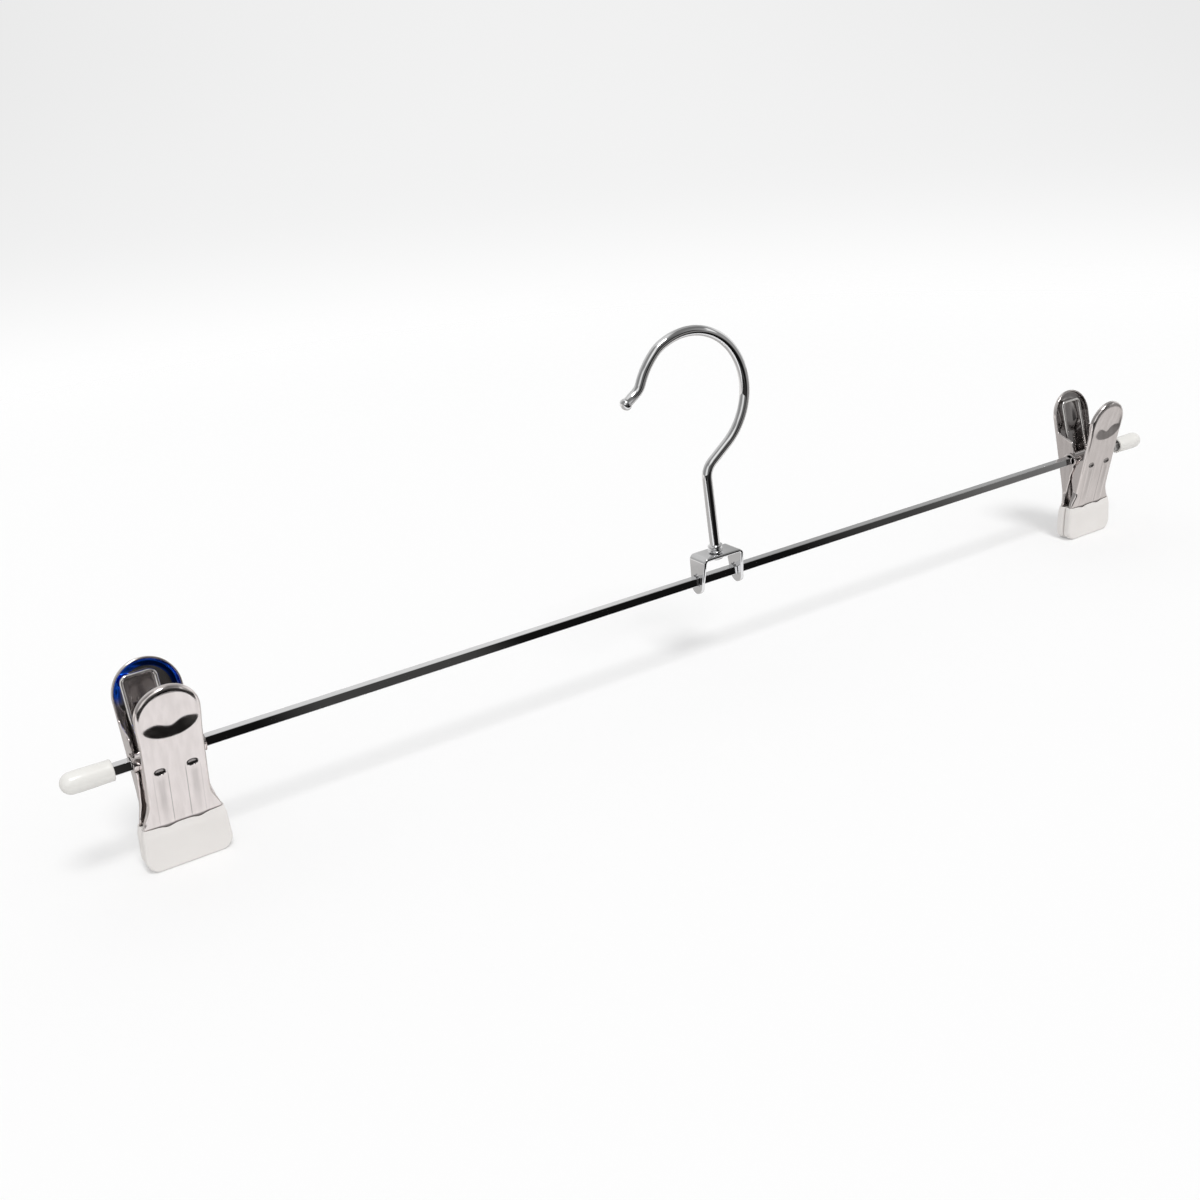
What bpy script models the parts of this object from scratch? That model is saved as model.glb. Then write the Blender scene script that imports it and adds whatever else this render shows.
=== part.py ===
"""Metal clip hanger: a square bright bar, a swivel hook in a saddle, and two sprung clips with dipped tips.

Metres, Z up. The hanger stands on its clip tips: the floor is z = 0, the bar runs along X, and y = 0 is
the middle plane in which the tips of each clip meet.
"""
import math
from collections import namedtuple

import bmesh
import bpy
import numpy as np
from mathutils import Matrix, Vector

MM = 0.001

# Fits
FIT_GAP = 0.3 * MM             # between pieces that rest on each other
RUNNING_GAP = 0.25 * MM        # round the pivot tube, in the ears
BAR_CLEARANCE = 0.2 * MM       # between the bar's corners and the pivot tube

# Bar and end caps
BAR_SIDE = 2.9 * MM
BAR_LENGTH = 442.05 * MM
BAR_EDGE = 0.25 * MM
PIVOT_HEIGHT = 33.8 * MM       # bar centre above the floor, also the clips' pivot height
CAP_LENGTH = 14.25 * MM
CAP_WALL = 0.85 * MM
CAP_END = 2.8 * MM             # solid rounded end beyond the bar

# Clips along the bar, measured in from its ends
LEFT_CLIP_INSET = 26.6 * MM
RIGHT_CLIP_INSET = 29.15 * MM

# Jaw, a pressed sheet: v runs up along it from the pivot, q goes inwards from its outer face
SHEET = 0.7 * MM
JAW_LEAN = math.radians(11.75)
FRONT_REACH = 25.9 * MM        # pivot to the top of the head, along the jaw
REAR_REACH = 27.25 * MM
FRONT_HEAD_RADIUS = 9.2 * MM
REAR_HEAD_RADIUS = 9.95 * MM
FRONT_WAIST = 8.9 * MM         # half width between head and flare, front jaw, nested inside
SHOULDER = 11.3 * MM           # half width where the sleeve begins
TIP_HALF_WIDTH = 11.8 * MM
TIP_CORNER = 3.4 * MM
EDGE_RADIUS = 1.25 * MM        # bend between the face and the flanges
RIM_DEPTH = 2.1 * MM           # flange depth round the head
HANDLE_FLANGE = 1.45 * MM      # flange depth between the head and the ear, front jaw
EAR_WALL = 0.6 * MM            # metal round the pivot hole
CRADLE_TOP = 0.4 * MM          # the front jaw's ears are open above this, past the pivot's middle
CRADLE_LIP = 4.4 * MM          # flange depth just above that opening
CRADLE_RUN = 4.6 * MM
EAR_LIP = 1.6 * MM             # the rear jaw's ear ends this far before the pivot, open round the tube
EAR_FRONT = 1.9 * MM           # the rear jaw's ear is upright up to here above the pivot
EAR_TOP = 6.4 * MM             # then it rounds back to here
EAR_BACK = 0.9 * MM            # by this much
EAR_SHOULDER = 11.8 * MM       # and its hollow top meets the head's rim here
SLIT_TOP = 8.1 * MM            # below the pivot, where the flanges part
SLIT_DEPTH = 5.1 * MM          # flange depth there
NECK_FLANGE = 1.7 * MM         # flange depth just above the sleeve
NECK_RUN = 1.5 * MM
TIP_EDGE = 0.25 * MM           # eased edge of the flat tip
BEND_HEIGHT = 13.5 * MM        # floor to the bend where the jaw turns upright
BEND_RADIUS = 12.0 * MM

# Pressed relief of a jaw
RIB_SPACING = 9.2 * MM         # between the middles of the two ribs
RIB_HALF_WIDTH = 1.9 * MM
RIB_HEIGHT = 0.3 * MM
DISH_HALF_WIDTH = 8.1 * MM     # thumb dish: a scoop that deepens downwards and ends in a steep wall
DISH_DEPTH = 1.15 * MM
DISH_RIDGE = 0.48              # share of the depth that the ridge along its middle takes away
DISH_RIDGE_WIDTH = 2.8 * MM
DISH_TOP = 7.3 * MM            # its top, above the head's centre
DISH_SIDES = 3.1 * MM          # its widest place, below the head's centre
DISH_SAG = 4.1 * MM            # from there down to the lowest place of its edge
WALL_TOP = 2.15 * MM           # top of the steep wall, below the head's centre
WALL_DIP = 1.9 * MM            # it dips by this in the middle
WALL_DIP_WIDTH = 2.2 * MM
WALL_DROOP = 0.7 * MM          # and by this at the sides
DIMPLE_V = -0.7 * MM
DIMPLE_WIDTH = 3.3 * MM
DIMPLE_HEIGHT = 2.2 * MM
DIMPLE_DEPTH = 0.4 * MM

# Dipped sleeves on the tips
SLEEVE_TOP = 13.5 * MM
SLEEVE_OUTER = 0.65 * MM
SLEEVE_INNER = 1.45 * MM
SLEEVE_SOLE = 0.75 * MM
SLEEVE_CORNER = 4.0 * MM
SLEEVE_ROUND = 0.6 * MM
SLEEVE_SIDE = 0.65 * MM
SLEEVE_TAPER = 2.6 * MM        # the dip thins out over this height
SLEEVE_LIP = 0.3 * MM          # its thickness at the top

# Pivot tube
TUBE_WALL = 0.35 * MM
TUBE_RIM = 0.42 * MM           # swaged rim beyond the tube's outside
TUBE_RIM_THICKNESS = 0.4 * MM

# Bow spring, one wire, under the pivot tube
SPRING_WIRE = 1.2 * MM
SPRING_HALF_WIDTH = 4.85 * MM
SPRING_REAR_REACH = 22.9 * MM  # pivot to the cross piece, along the rear jaw
SPRING_FRONT_REACH = 19.9 * MM # pivot to the bent ends, along the front jaw
SPRING_END = 2.6 * MM
SPRING_BEND = 1.7 * MM
LEFT_SPRING_SHIFT = -1.7 * MM
RIGHT_SPRING_SHIFT = -0.5 * MM

# Saddle, a strip bent over the bar
SADDLE_X = -0.35 * MM
SADDLE_SPAN = 16.7 * MM
SADDLE_DEPTH = 8.6 * MM
SADDLE_FOOT = 6.4 * MM         # depth of the legs where their round ends begin
SADDLE_STRIP = 1.2 * MM
SADDLE_TOP = 8.5 * MM          # above the bar's centre
SADDLE_DROP = 4.7 * MM         # leg ends below the bar's centre
SADDLE_BEND = 1.9 * MM
SADDLE_SPLAY = math.radians(4.0)
SADDLE_KEYHOLE = 0.8 * MM

# Hook
HOOK_WIRE = 3.45 * MM
HOOK_X = SADDLE_X - 0.25 * MM  # its hole is a little off the saddle's middle
HOOK_LEAN = math.radians(-4.7)
HOOK_STEM = 28.9 * MM
HOOK_LOOP_RADIUS = 22.55 * MM
HOOK_LOOP_CENTRE = (-3.1 * MM, 55.2 * MM)
HOOK_LOOP_END = math.radians(114.5)
HOOK_KINK_RADIUS = 8.5 * MM
HOOK_TAIL = ((11.0 * MM, 13.5), (24.7 * MM, 25.8), (-6.0 * MM, -34.0))  # arcs after the loop: radius, turn
HOOK_TIP_STRAIGHT = 3.0 * MM
HOOK_BALL = 5.0 * MM
HOOK_HOLE_GAP = 0.35 * MM
COLLAR_LIFT = 0.45 * MM
COLLAR_BASE_RADIUS = 2.75 * MM # a crown: a wide base, a waist and a rim
COLLAR_BASE = 0.5 * MM
COLLAR_WAIST_RADIUS = 1.95 * MM
COLLAR_RIM_RADIUS = 2.45 * MM
COLLAR_RIM = 0.6 * MM
COLLAR_HEIGHT = 2.1 * MM
RIVET_HEAD_RADIUS = 2.5 * MM
RIVET_HEAD = 1.1 * MM

# Values that follow
LEFT_CLIP_X = LEFT_CLIP_INSET - BAR_LENGTH / 2
RIGHT_CLIP_X = BAR_LENGTH / 2 - RIGHT_CLIP_INSET
HALF_DIAGONAL = BAR_SIDE / math.sqrt(2)
TUBE_INNER_RADIUS = HALF_DIAGONAL + BAR_CLEARANCE
TUBE_OUTER_RADIUS = TUBE_INNER_RADIUS + TUBE_WALL
EAR_HOLE_RADIUS = TUBE_OUTER_RADIUS + RUNNING_GAP
EAR_REACH = EAR_HOLE_RADIUS + EAR_WALL
REAR_WAIST = FRONT_WAIST + FIT_GAP + SHEET
TIP_FACE = FIT_GAP / 2 + SLEEVE_INNER + RUNNING_GAP + SHEET
SLEEVE_FACE = TIP_FACE + RUNNING_GAP + SLEEVE_OUTER
PIVOT_DEPTH = TIP_FACE * math.cos(JAW_LEAN) + (PIVOT_HEIGHT - BEND_HEIGHT) * math.sin(JAW_LEAN)
SADDLE_Z = PIVOT_HEIGHT + SADDLE_TOP


def clear_scene():
    """Removes what the file opens with."""
    for item in list(bpy.data.objects):
        bpy.data.objects.remove(item, do_unlink=True)


def finish(name, colour, metallic, roughness, coat=0.0):
    """A Principled material with one plain colour."""
    material = bpy.data.materials.new(name)
    material.use_nodes = True
    shader = material.node_tree.nodes["Principled BSDF"]
    shader.inputs["Base Color"].default_value = (*colour, 1.0)
    shader.inputs["Metallic"].default_value = metallic
    shader.inputs["Roughness"].default_value = roughness
    shader.inputs["Coat Weight"].default_value = coat
    return material


def add_object(name, mesh, material=None, parent=None, location=(0, 0, 0), turn=0.0):
    """Links a mesh or a curve as an object, turned about Z."""
    item = bpy.data.objects.new(name, mesh)
    bpy.context.scene.collection.objects.link(item)
    item.location = location
    item.rotation_euler = (0.0, 0.0, turn)
    item.parent = parent
    if material:
        item.data.materials.append(material)
    return item


def empty(name, location, parent=None):
    """A guide that stands on a joint's axis."""
    item = bpy.data.objects.new(name, None)
    bpy.context.scene.collection.objects.link(item)
    item.location = location
    item.parent = parent
    return item


def mesh_from(bm, name, smooth=None):
    """Writes a bmesh out as a mesh with its faces pointing out."""
    bmesh.ops.recalc_face_normals(bm, faces=bm.faces)
    mesh = bpy.data.meshes.new(name)
    bm.to_mesh(mesh)
    bm.free()
    if smooth is not None:
        mesh.shade_smooth()
        mesh.set_sharp_from_angle(angle=smooth)
    return mesh


def cutter(name, mesh, parent=None, location=(0, 0, 0), turn=0.0):
    """An object that only cuts others."""
    item = add_object(name, mesh, None, parent, location, turn)
    item.hide_render = True
    item.display_type = "WIRE"
    return item


def cut(item, tool, operation="DIFFERENCE"):
    """Adds a Boolean by a cutter."""
    modifier = item.modifiers.new(tool.name, "BOOLEAN")
    modifier.operation = operation
    modifier.object = tool
    modifier.solver = "EXACT"


def prism_mesh(name, outline, low, high, axis="x"):
    """A closed outline extruded between two places along an axis; outline pairs are (y, z) or (x, z)."""
    bm = bmesh.new()
    rows = []
    for place in (low, high):
        if axis == "x":
            rows.append([bm.verts.new((place, a, b)) for a, b in outline])
        else:
            rows.append([bm.verts.new((a, place, b)) for a, b in outline])
    bm.faces.new(rows[0])
    bm.faces.new(list(reversed(rows[1])))
    count = len(outline)
    for i in range(count):
        j = (i + 1) % count
        bm.faces.new((rows[0][i], rows[0][j], rows[1][j], rows[1][i]))
    return mesh_from(bm, name)


def circle_points(radius, count, centre=(0.0, 0.0), start=0.0, sweep=math.tau, closed=True):
    """Points round a circle or an arc."""
    steps = count if closed else count - 1
    return [(centre[0] + radius * math.cos(start + sweep * i / steps),
             centre[1] + radius * math.sin(start + sweep * i / steps)) for i in range(count)]


def turned_mesh(name, profile, segments=24, smooth=math.radians(35)):
    """A closed profile of (x, radius) pairs turned about the X axis."""
    bm = bmesh.new()
    rings = []
    for x, radius in profile:
        if radius < 1e-7:
            rings.append([bm.verts.new((x, 0.0, 0.0))])
        else:
            rings.append([bm.verts.new((x, y, z)) for y, z in circle_points(radius, segments)])
    pairs = zip(rings, rings[1:] + rings[:1])
    for first, second in pairs:
        for i in range(segments):
            j = (i + 1) % segments
            loop = [first[i % len(first)], first[j % len(first)], second[j % len(second)], second[i % len(second)]]
            corners = list(dict.fromkeys(loop))
            if len(corners) > 2:
                bm.faces.new(corners)
    return mesh_from(bm, name, smooth)


def ease(x):
    """Smooth step from 0 to 1."""
    x = min(max(x, 0.0), 1.0)
    return x * x * (3.0 - 2.0 * x)


def eased_table(value, table):
    """Reads a table of (place, size) pairs with a smooth run between them."""
    for (a, size_a), (b, size_b) in zip(table, table[1:]):
        if value <= b:
            return size_a + (size_b - size_a) * ease((value - a) / (b - a))
    return table[-1][1]


# Jaw geometry

def jaw_spine(v):
    """Outer face of the jaw's middle at v: (y, z) from the pivot, and its lean there."""
    bend_tangent = BEND_RADIUS * math.tan(JAW_LEAN / 2)
    bend_z = BEND_HEIGHT - PIVOT_HEIGHT
    bend_v = TIP_FACE * math.sin(JAW_LEAN) + bend_z * math.cos(JAW_LEAN)
    upper_v = bend_v + bend_tangent
    if v >= upper_v:
        return (-PIVOT_DEPTH * math.cos(JAW_LEAN) - v * math.sin(JAW_LEAN),
                -PIVOT_DEPTH * math.sin(JAW_LEAN) + v * math.cos(JAW_LEAN), JAW_LEAN)
    y, z, _ = jaw_spine(upper_v)
    run = min(upper_v - v, BEND_RADIUS * JAW_LEAN)
    lean = JAW_LEAN - run / BEND_RADIUS
    y += BEND_RADIUS * (math.cos(lean) - math.cos(JAW_LEAN))
    z -= BEND_RADIUS * (math.sin(JAW_LEAN) - math.sin(lean))
    return y, z - (upper_v - v - run), lean


def v_at_height(z):
    """v of the outer face at a height above the floor, on the upright tip."""
    low = -PIVOT_HEIGHT - 5 * MM
    return z - PIVOT_HEIGHT - jaw_spine(low)[1] + low


Face = namedtuple("Face", "waist head_v head_radius flange_at ear_rows")


def half_width(v, face):
    """Half width of the pressed outline below the head."""
    waist = face.waist
    tip_v = v_at_height(SLEEVE_SOLE + RUNNING_GAP)
    shoulder_v = v_at_height(SLEEVE_TOP)
    width = eased_table(v, [(tip_v, TIP_HALF_WIDTH), (shoulder_v, SHOULDER), (-SLIT_TOP - 4 * MM, waist + 0.1 * MM),
                            (-SLIT_TOP, waist), (EAR_TOP + 1 * MM, waist), (face.head_v, face.head_radius)])
    rise = v - tip_v
    if rise < TIP_CORNER:
        width -= TIP_CORNER - math.sqrt(max(TIP_CORNER ** 2 - (TIP_CORNER - rise) ** 2, 0.0))
    return width


def boss_depth(v):
    """Depth reached by the round boss of the ear at v."""
    return PIVOT_DEPTH + math.sqrt(max(EAR_REACH ** 2 - v * v, 0.0))


def lower_flange(v):
    """Flange depth under the pivot: flat in the sleeve, then the slit between the jaws closes upwards."""
    neck_v = v_at_height(SLEEVE_TOP) + NECK_RUN
    if v < neck_v:
        return SHEET + (NECK_FLANGE - SHEET) * ease((v - neck_v + NECK_RUN) / NECK_RUN)
    rise = (v - neck_v) / (-SLIT_TOP - neck_v)
    return NECK_FLANGE + (SLIT_DEPTH - NECK_FLANGE) * rise ** 1.5


def under_ear(v, edge):
    """Flange depth between the slit's top and the bottom of the ear."""
    return SLIT_DEPTH + (edge - SLIT_DEPTH) * ease((v + SLIT_TOP) / (SLIT_TOP - EAR_REACH))


def front_flange(v):
    """Flange depth of the front jaw, whose ears are cradles that the tube sits in, open at the top."""
    if v > CRADLE_TOP:
        run = min((v - CRADLE_TOP) / CRADLE_RUN, 1.0)
        return HANDLE_FLANGE + (CRADLE_LIP - HANDLE_FLANGE) * (1.0 - run) ** 2.2
    if v > -EAR_REACH:
        return boss_depth(v)
    return under_ear(v, PIVOT_DEPTH) if v > -SLIT_TOP else lower_flange(v)


def rear_flange(v):
    """Flange depth of the rear jaw, whose ears have an upright front edge and a hollow sloping top."""
    edge = PIVOT_DEPTH + EAR_LIP / math.cos(JAW_LEAN) + v * math.tan(JAW_LEAN)
    if v > EAR_FRONT:
        corner = edge - EAR_BACK
        return eased_table(v, [(EAR_FRONT, edge), (EAR_TOP, corner), (EAR_SHOULDER, RIM_DEPTH)])
    if v > -EAR_REACH:
        return edge
    return under_ear(v, edge) if v > -SLIT_TOP else lower_flange(v)


def scoop(x, up):
    """Inward depth of the thumb dish at a height above the head's centre; its steep wall faces upwards."""
    across = abs(x) / DISH_HALF_WIDTH
    if across >= 1.0:
        return 0.0
    bow = math.sqrt(1.0 - across ** 2)
    low = -DISH_SIDES - DISH_SAG * bow
    wall_top = -WALL_TOP - WALL_DIP * math.exp(-(x / WALL_DIP_WIDTH) ** 2) - WALL_DROOP * across ** 4
    wall_top = max(wall_top, low + 0.2 * MM)
    ramp = (DISH_TOP * bow - up) / (DISH_TOP * bow - wall_top)
    depth = DISH_DEPTH * bow ** 2 * (1.0 - DISH_RIDGE * math.exp(-(x / DISH_RIDGE_WIDTH) ** 2))
    return depth * ease((up - low) / (wall_top - low)) * max(ramp, 0.0)


def relief(x, v, head_v):
    """Inward depth of the pressed relief: two ribs, and the thumb dish."""
    shoulder_v = v_at_height(SLEEVE_TOP)
    depth = scoop(x, v - head_v)
    if v < DIMPLE_V:
        off = abs(abs(x) - RIB_SPACING / 2) / RIB_HALF_WIDTH
        run = ease((DIMPLE_V - v) / (3 * MM)) * ease((v - shoulder_v) / (2 * MM))
        depth -= RIB_HEIGHT * run * max(1.0 - off * off, 0.0)
    return depth


def section_profile(flange, edge):
    """Half a section from the flange's edge to the face: (inset, depth) outside, then inside."""
    bends = [math.radians(a) for a in (0, 30, 60, 90)]
    outer = [(edge * (1 - math.cos(a)), edge * (1 - math.sin(a))) for a in bends]
    if flange < edge + SHEET:
        inner = [(TIP_EDGE * (0.4 + 0.6 * i / 4), SHEET) for i in range(5)]
        return [(0.0, SHEET - 0.4 * TIP_EDGE)] + outer, inner
    bend = edge - SHEET
    inner = [(SHEET, flange)] + [(edge - bend * math.cos(a), edge - bend * math.sin(a)) for a in bends]
    return [(0.0, flange)] + outer, inner


FACE_COLUMNS = (0.87, 0.76, 0.64, 0.5, 0.32, 0.0)


def jaw_rows(face):
    """Rows round the jaw: up one side, round the head and down the other, as (edge point, inner point)."""
    tip_v = v_at_height(SLEEVE_SOLE + RUNNING_GAP)
    neck_v = v_at_height(SLEEVE_TOP)
    corner = [tip_v + TIP_CORNER * (1 - math.cos(math.radians(a))) for a in (0, 30, 60, 90)]
    heights = corner + [0.5 * (corner[-1] + neck_v), neck_v, neck_v + NECK_RUN]
    heights += [neck_v + NECK_RUN + (-SLIT_TOP - neck_v - NECK_RUN) * share for share in (0.3, 0.65, 1.0)]
    heights += [-0.5 * (SLIT_TOP + EAR_REACH)]
    heights += [EAR_REACH * math.sin(math.radians(a)) for a in (-90, -70, -50, -25)] + face.ear_rows
    head_v, radius = face.head_v, face.head_radius
    heights += [head_v - (DISH_SIDES + DISH_SAG) * share for share in (1.0, 0.88, 0.74, 0.6, 0.46, 0.34, 0.2, 0.0)]
    heights = sorted(v for v in heights if v <= head_v)
    rows = [((-half_width(v, face), v), (0.0, v)) for v in heights]
    for a in range(165, 0, -15):
        angle = math.radians(a)
        rows.append(((radius * math.cos(angle), head_v + radius * math.sin(angle)), (0.0, head_v)))
    rows += [((half_width(v, face), v), (0.0, v)) for v in reversed(heights)]
    return rows


FRONT_ROWS = [-0.6 * MM, CRADLE_TOP, CRADLE_TOP + 0.05 * MM] + [CRADLE_TOP + CRADLE_RUN * share
                                                               for share in (0.15, 0.3, 0.5, 0.75, 1.0)]
REAR_ROWS = [0.0, EAR_FRONT] + [EAR_FRONT + (EAR_TOP - EAR_FRONT) * share for share in (0.35, 0.65, 1.0)] \
    + [EAR_TOP + (EAR_SHOULDER - EAR_TOP) * share for share in (0.18, 0.36, 0.54, 0.72)]


FRONT = Face(FRONT_WAIST, FRONT_REACH - FRONT_HEAD_RADIUS, FRONT_HEAD_RADIUS, front_flange, FRONT_ROWS)
REAR = Face(REAR_WAIST, REAR_REACH - REAR_HEAD_RADIUS, REAR_HEAD_RADIUS, rear_flange, REAR_ROWS)


def jaw_mesh(name, face):
    """The pressed jaw: closed sections of sheet, swept up one side, over the head and down the other."""
    bm = bmesh.new()
    outside, inside = [], []
    for (edge_x, edge_v), (inner_x, inner_v) in jaw_rows(face):
        reach = math.hypot(edge_x - inner_x, edge_v - inner_v)
        direction = ((inner_x - edge_x) / reach, (inner_v - edge_v) / reach)
        flange = RIM_DEPTH if edge_v > face.head_v else face.flange_at(edge_v)
        edge = TIP_EDGE if flange < NECK_FLANGE - TIP_EDGE else EDGE_RADIUS
        outer, inner = section_profile(flange, edge)
        outer = outer + [(edge + (reach - edge) * (1 - c), 0.0) for c in FACE_COLUMNS]
        inner = inner + [(edge + (reach - edge) * (1 - c), SHEET) for c in FACE_COLUMNS]
        for store, line in ((outside, outer), (inside, inner)):
            ring = []
            for inset, depth in line:
                x = edge_x + direction[0] * inset
                v = edge_v + direction[1] * inset
                y, z, lean = jaw_spine(v)
                q = depth + relief(x, v, face.head_v) * ease(1 - depth / (3 * MM))
                ring.append(bm.verts.new((x, y + q * math.cos(lean), z + q * math.sin(lean))))
            store.append(ring)
    count = len(outside[0])
    for k in range(len(outside) - 1):
        for i in range(count - 1):
            bm.faces.new((outside[k][i], outside[k + 1][i], outside[k + 1][i + 1], outside[k][i + 1]))
            bm.faces.new((inside[k][i], inside[k][i + 1], inside[k + 1][i + 1], inside[k + 1][i]))
        bm.faces.new((outside[k][0], inside[k][0], inside[k + 1][0], outside[k + 1][0]))
    for k in (0, len(outside) - 1):
        for i in range(count - 1):
            bm.faces.new((outside[k][i], outside[k][i + 1], inside[k][i + 1], inside[k][i]))
    bmesh.ops.remove_doubles(bm, verts=bm.verts, dist=1e-6)
    bmesh.ops.dissolve_degenerate(bm, edges=bm.edges, dist=1e-7)
    return mesh_from(bm, name, math.radians(32))


def from_jaw(v, q):
    """(y, z) from the pivot of a place on the inclined part of a jaw."""
    out = PIVOT_DEPTH - q
    return (-out * math.cos(JAW_LEAN) - v * math.sin(JAW_LEAN), -out * math.sin(JAW_LEAN) + v * math.cos(JAW_LEAN))


def dimple_mesh(name):
    """A squashed ball that presses the oval dimple."""
    bm = bmesh.new()
    bmesh.ops.create_uvsphere(bm, u_segments=12, v_segments=8, radius=1.0)
    size = (DIMPLE_WIDTH / 2, DIMPLE_DEPTH * 2, DIMPLE_HEIGHT / 2)
    bmesh.ops.transform(bm, matrix=Matrix.Diagonal((*size, 1.0)), verts=bm.verts)
    return mesh_from(bm, name)


def make_jaw(name, side, pivot, steel):
    """One pressed jaw with its pivot hole and dimples; the rear one faces the other way."""
    face, turn = (FRONT, 0.0) if side == "front" else (REAR, math.pi)
    jaw = add_object(name, jaw_mesh(name, face), steel, pivot, turn=turn)
    reach = REAR_WAIST + 3 * MM
    hole = prism_mesh(name + "_hole", circle_points(EAR_HOLE_RADIUS, 24), -reach, reach)
    cut(jaw, cutter(name + "_hole", hole, pivot))
    y, z = from_jaw(DIMPLE_V, -DIMPLE_DEPTH)
    for sign in (-1, 1):
        x = sign * RIB_SPACING / 2
        press = cutter(f"{name}_dimple_{sign}", dimple_mesh(name + "_dimple"), pivot)
        press.matrix_basis = Matrix.Rotation(turn, 4, "Z") @ Matrix.Translation((x, y, z)) \
            @ Matrix.Rotation(JAW_LEAN, 4, "X")
        cut(jaw, press)
    return jaw


# Sleeves

def tip_outline(margin, corner, low, high, steps=6):
    """Front view of the tip: the jaw's outline grown by a margin, with rounded lower corners."""
    rows = [low + corner * (1 - math.cos(math.radians(90 * i / steps))) for i in range(steps + 1)] + [high]
    right = []
    for z in rows:
        grow = eased_table(z, [(0.0, TIP_HALF_WIDTH), (SLEEVE_TOP, SHOULDER), (2 * SLEEVE_TOP, SHOULDER)]) + margin
        rise = z - low
        if rise < corner:
            grow -= corner - math.sqrt(max(corner ** 2 - (corner - rise) ** 2, 0.0))
        right.append((grow, z - PIVOT_HEIGHT))
    return right + [(-x, z) for x, z in reversed(right)]


def sleeve_mesh(name):
    """A flat-soled slab round the tip, its rings stacked upwards; the dip thins out towards its top."""
    margin = RUNNING_GAP + SLEEVE_SIDE
    inner = -FIT_GAP / 2
    rises = [0.0, 0.3, 1.0]
    heights = [SLEEVE_ROUND * rise for rise in rises]
    heights += [SLEEVE_CORNER * share for share in (0.35, 0.62, 1.0)]
    heights += [SLEEVE_TOP - SLEEVE_TAPER * share for share in (1.5, 1.0, 0.7, 0.4, 0.12, 0.0)]
    bm = bmesh.new()
    rings = []
    for z in heights:
        width = eased_table(z, [(0.0, TIP_HALF_WIDTH), (SLEEVE_TOP, SHOULDER)]) + margin
        if z < SLEEVE_CORNER:
            width -= SLEEVE_CORNER - math.sqrt(SLEEVE_CORNER ** 2 - (SLEEVE_CORNER - z) ** 2)
        low = max(1.0 - z / SLEEVE_ROUND, 0.0)
        sole = SLEEVE_ROUND * (1 - math.sqrt(1 - low * low)) if low > 0 else 0.0
        thin = ease((z - SLEEVE_TOP + SLEEVE_TAPER) / SLEEVE_TAPER)
        outer = -SLEEVE_FACE + (SLEEVE_OUTER - SLEEVE_LIP) * thin + sole
        width -= (SLEEVE_SIDE - SLEEVE_LIP) * thin
        back = inner - sole
        corner = min(SLEEVE_ROUND, (back - outer) / 2.5)
        ring = []
        for cx, cy, turn in ((width, outer, -90), (width, back, 0), (-width, back, 90), (-width, outer, 180)):
            middle = (cx - math.copysign(corner, cx), cy + (corner if cy == outer else -corner))
            for step in (0, 30, 60, 90):
                angle = math.radians(turn + step)
                ring.append(bm.verts.new((middle[0] + corner * math.cos(angle), middle[1] + corner * math.sin(angle),
                                          z - PIVOT_HEIGHT)))
        rings.append(ring)
    for first, second in zip(rings, rings[1:]):
        for i in range(len(first)):
            j = (i + 1) % len(first)
            bm.faces.new((first[i], first[j], second[j], second[i]))
    bm.faces.new(rings[0])
    bm.faces.new(list(reversed(rings[-1])))
    return mesh_from(bm, name, math.radians(50))


def make_sleeve(name, side, pivot, vinyl):
    """A dipped sleeve: a rounded slab over the tip, hollowed where the steel goes in."""
    turn = 0.0 if side == "front" else math.pi
    sleeve = add_object(name, sleeve_mesh(name), vinyl, pivot, turn=turn)
    pocket = prism_mesh(name + "_pocket", tip_outline(RUNNING_GAP, TIP_CORNER, SLEEVE_SOLE, SLEEVE_TOP + 3 * MM),
                        -TIP_FACE - RUNNING_GAP, -TIP_FACE + SHEET + RUNNING_GAP, axis="y")
    cut(sleeve, cutter(name + "_pocket", pocket, pivot, turn=turn))
    return sleeve


# Spring and hook wires

def fillet_path(points, radius, steps):
    """A path of straight runs whose corners are rounded by arcs."""
    path = [Vector(points[0])]
    for before, corner, after in zip(points, points[1:], points[2:]):
        corner = Vector(corner)
        a = (Vector(before) - corner).normalized()
        b = (Vector(after) - corner).normalized()
        half = a.angle(b) / 2
        if half > math.radians(84):
            path.append(corner)
            continue
        back = radius / math.tan(half)
        centre = corner + (a + b).normalized() * (radius / math.sin(half))
        start = corner + a * back - centre
        end = corner + b * back - centre
        for i in range(steps + 1):
            path.append(centre + start.normalized().slerp(end.normalized(), i / steps) * start.length)
    path.append(Vector(points[-1]))
    return path


def wire_curve(name, path, radius, sides, sizes=None):
    """A round wire along a path; sizes give the wire's own radius at each point where it isn't even."""
    curve = bpy.data.curves.new(name, "CURVE")
    curve.dimensions = "3D"
    curve.bevel_depth = radius
    curve.bevel_resolution = (sides - 4) // 2
    curve.use_fill_caps = True
    curve.render_resolution_u = 0
    spline = curve.splines.new("POLY")
    spline.points.add(len(path) - 1)
    for i, (point, place) in enumerate(zip(spline.points, path)):
        point.co = (*place, 1.0)
        point.radius = sizes[i] / radius if sizes else 1.0
    spline.use_smooth = True
    return curve


def tangent_angle(place, bend, outward):
    """Angle on a circle round the pivot where a straight leg to a place leaves it."""
    distance = math.hypot(*place)
    return math.atan2(place[1], place[0]) - outward * math.acos(bend / distance)


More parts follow.
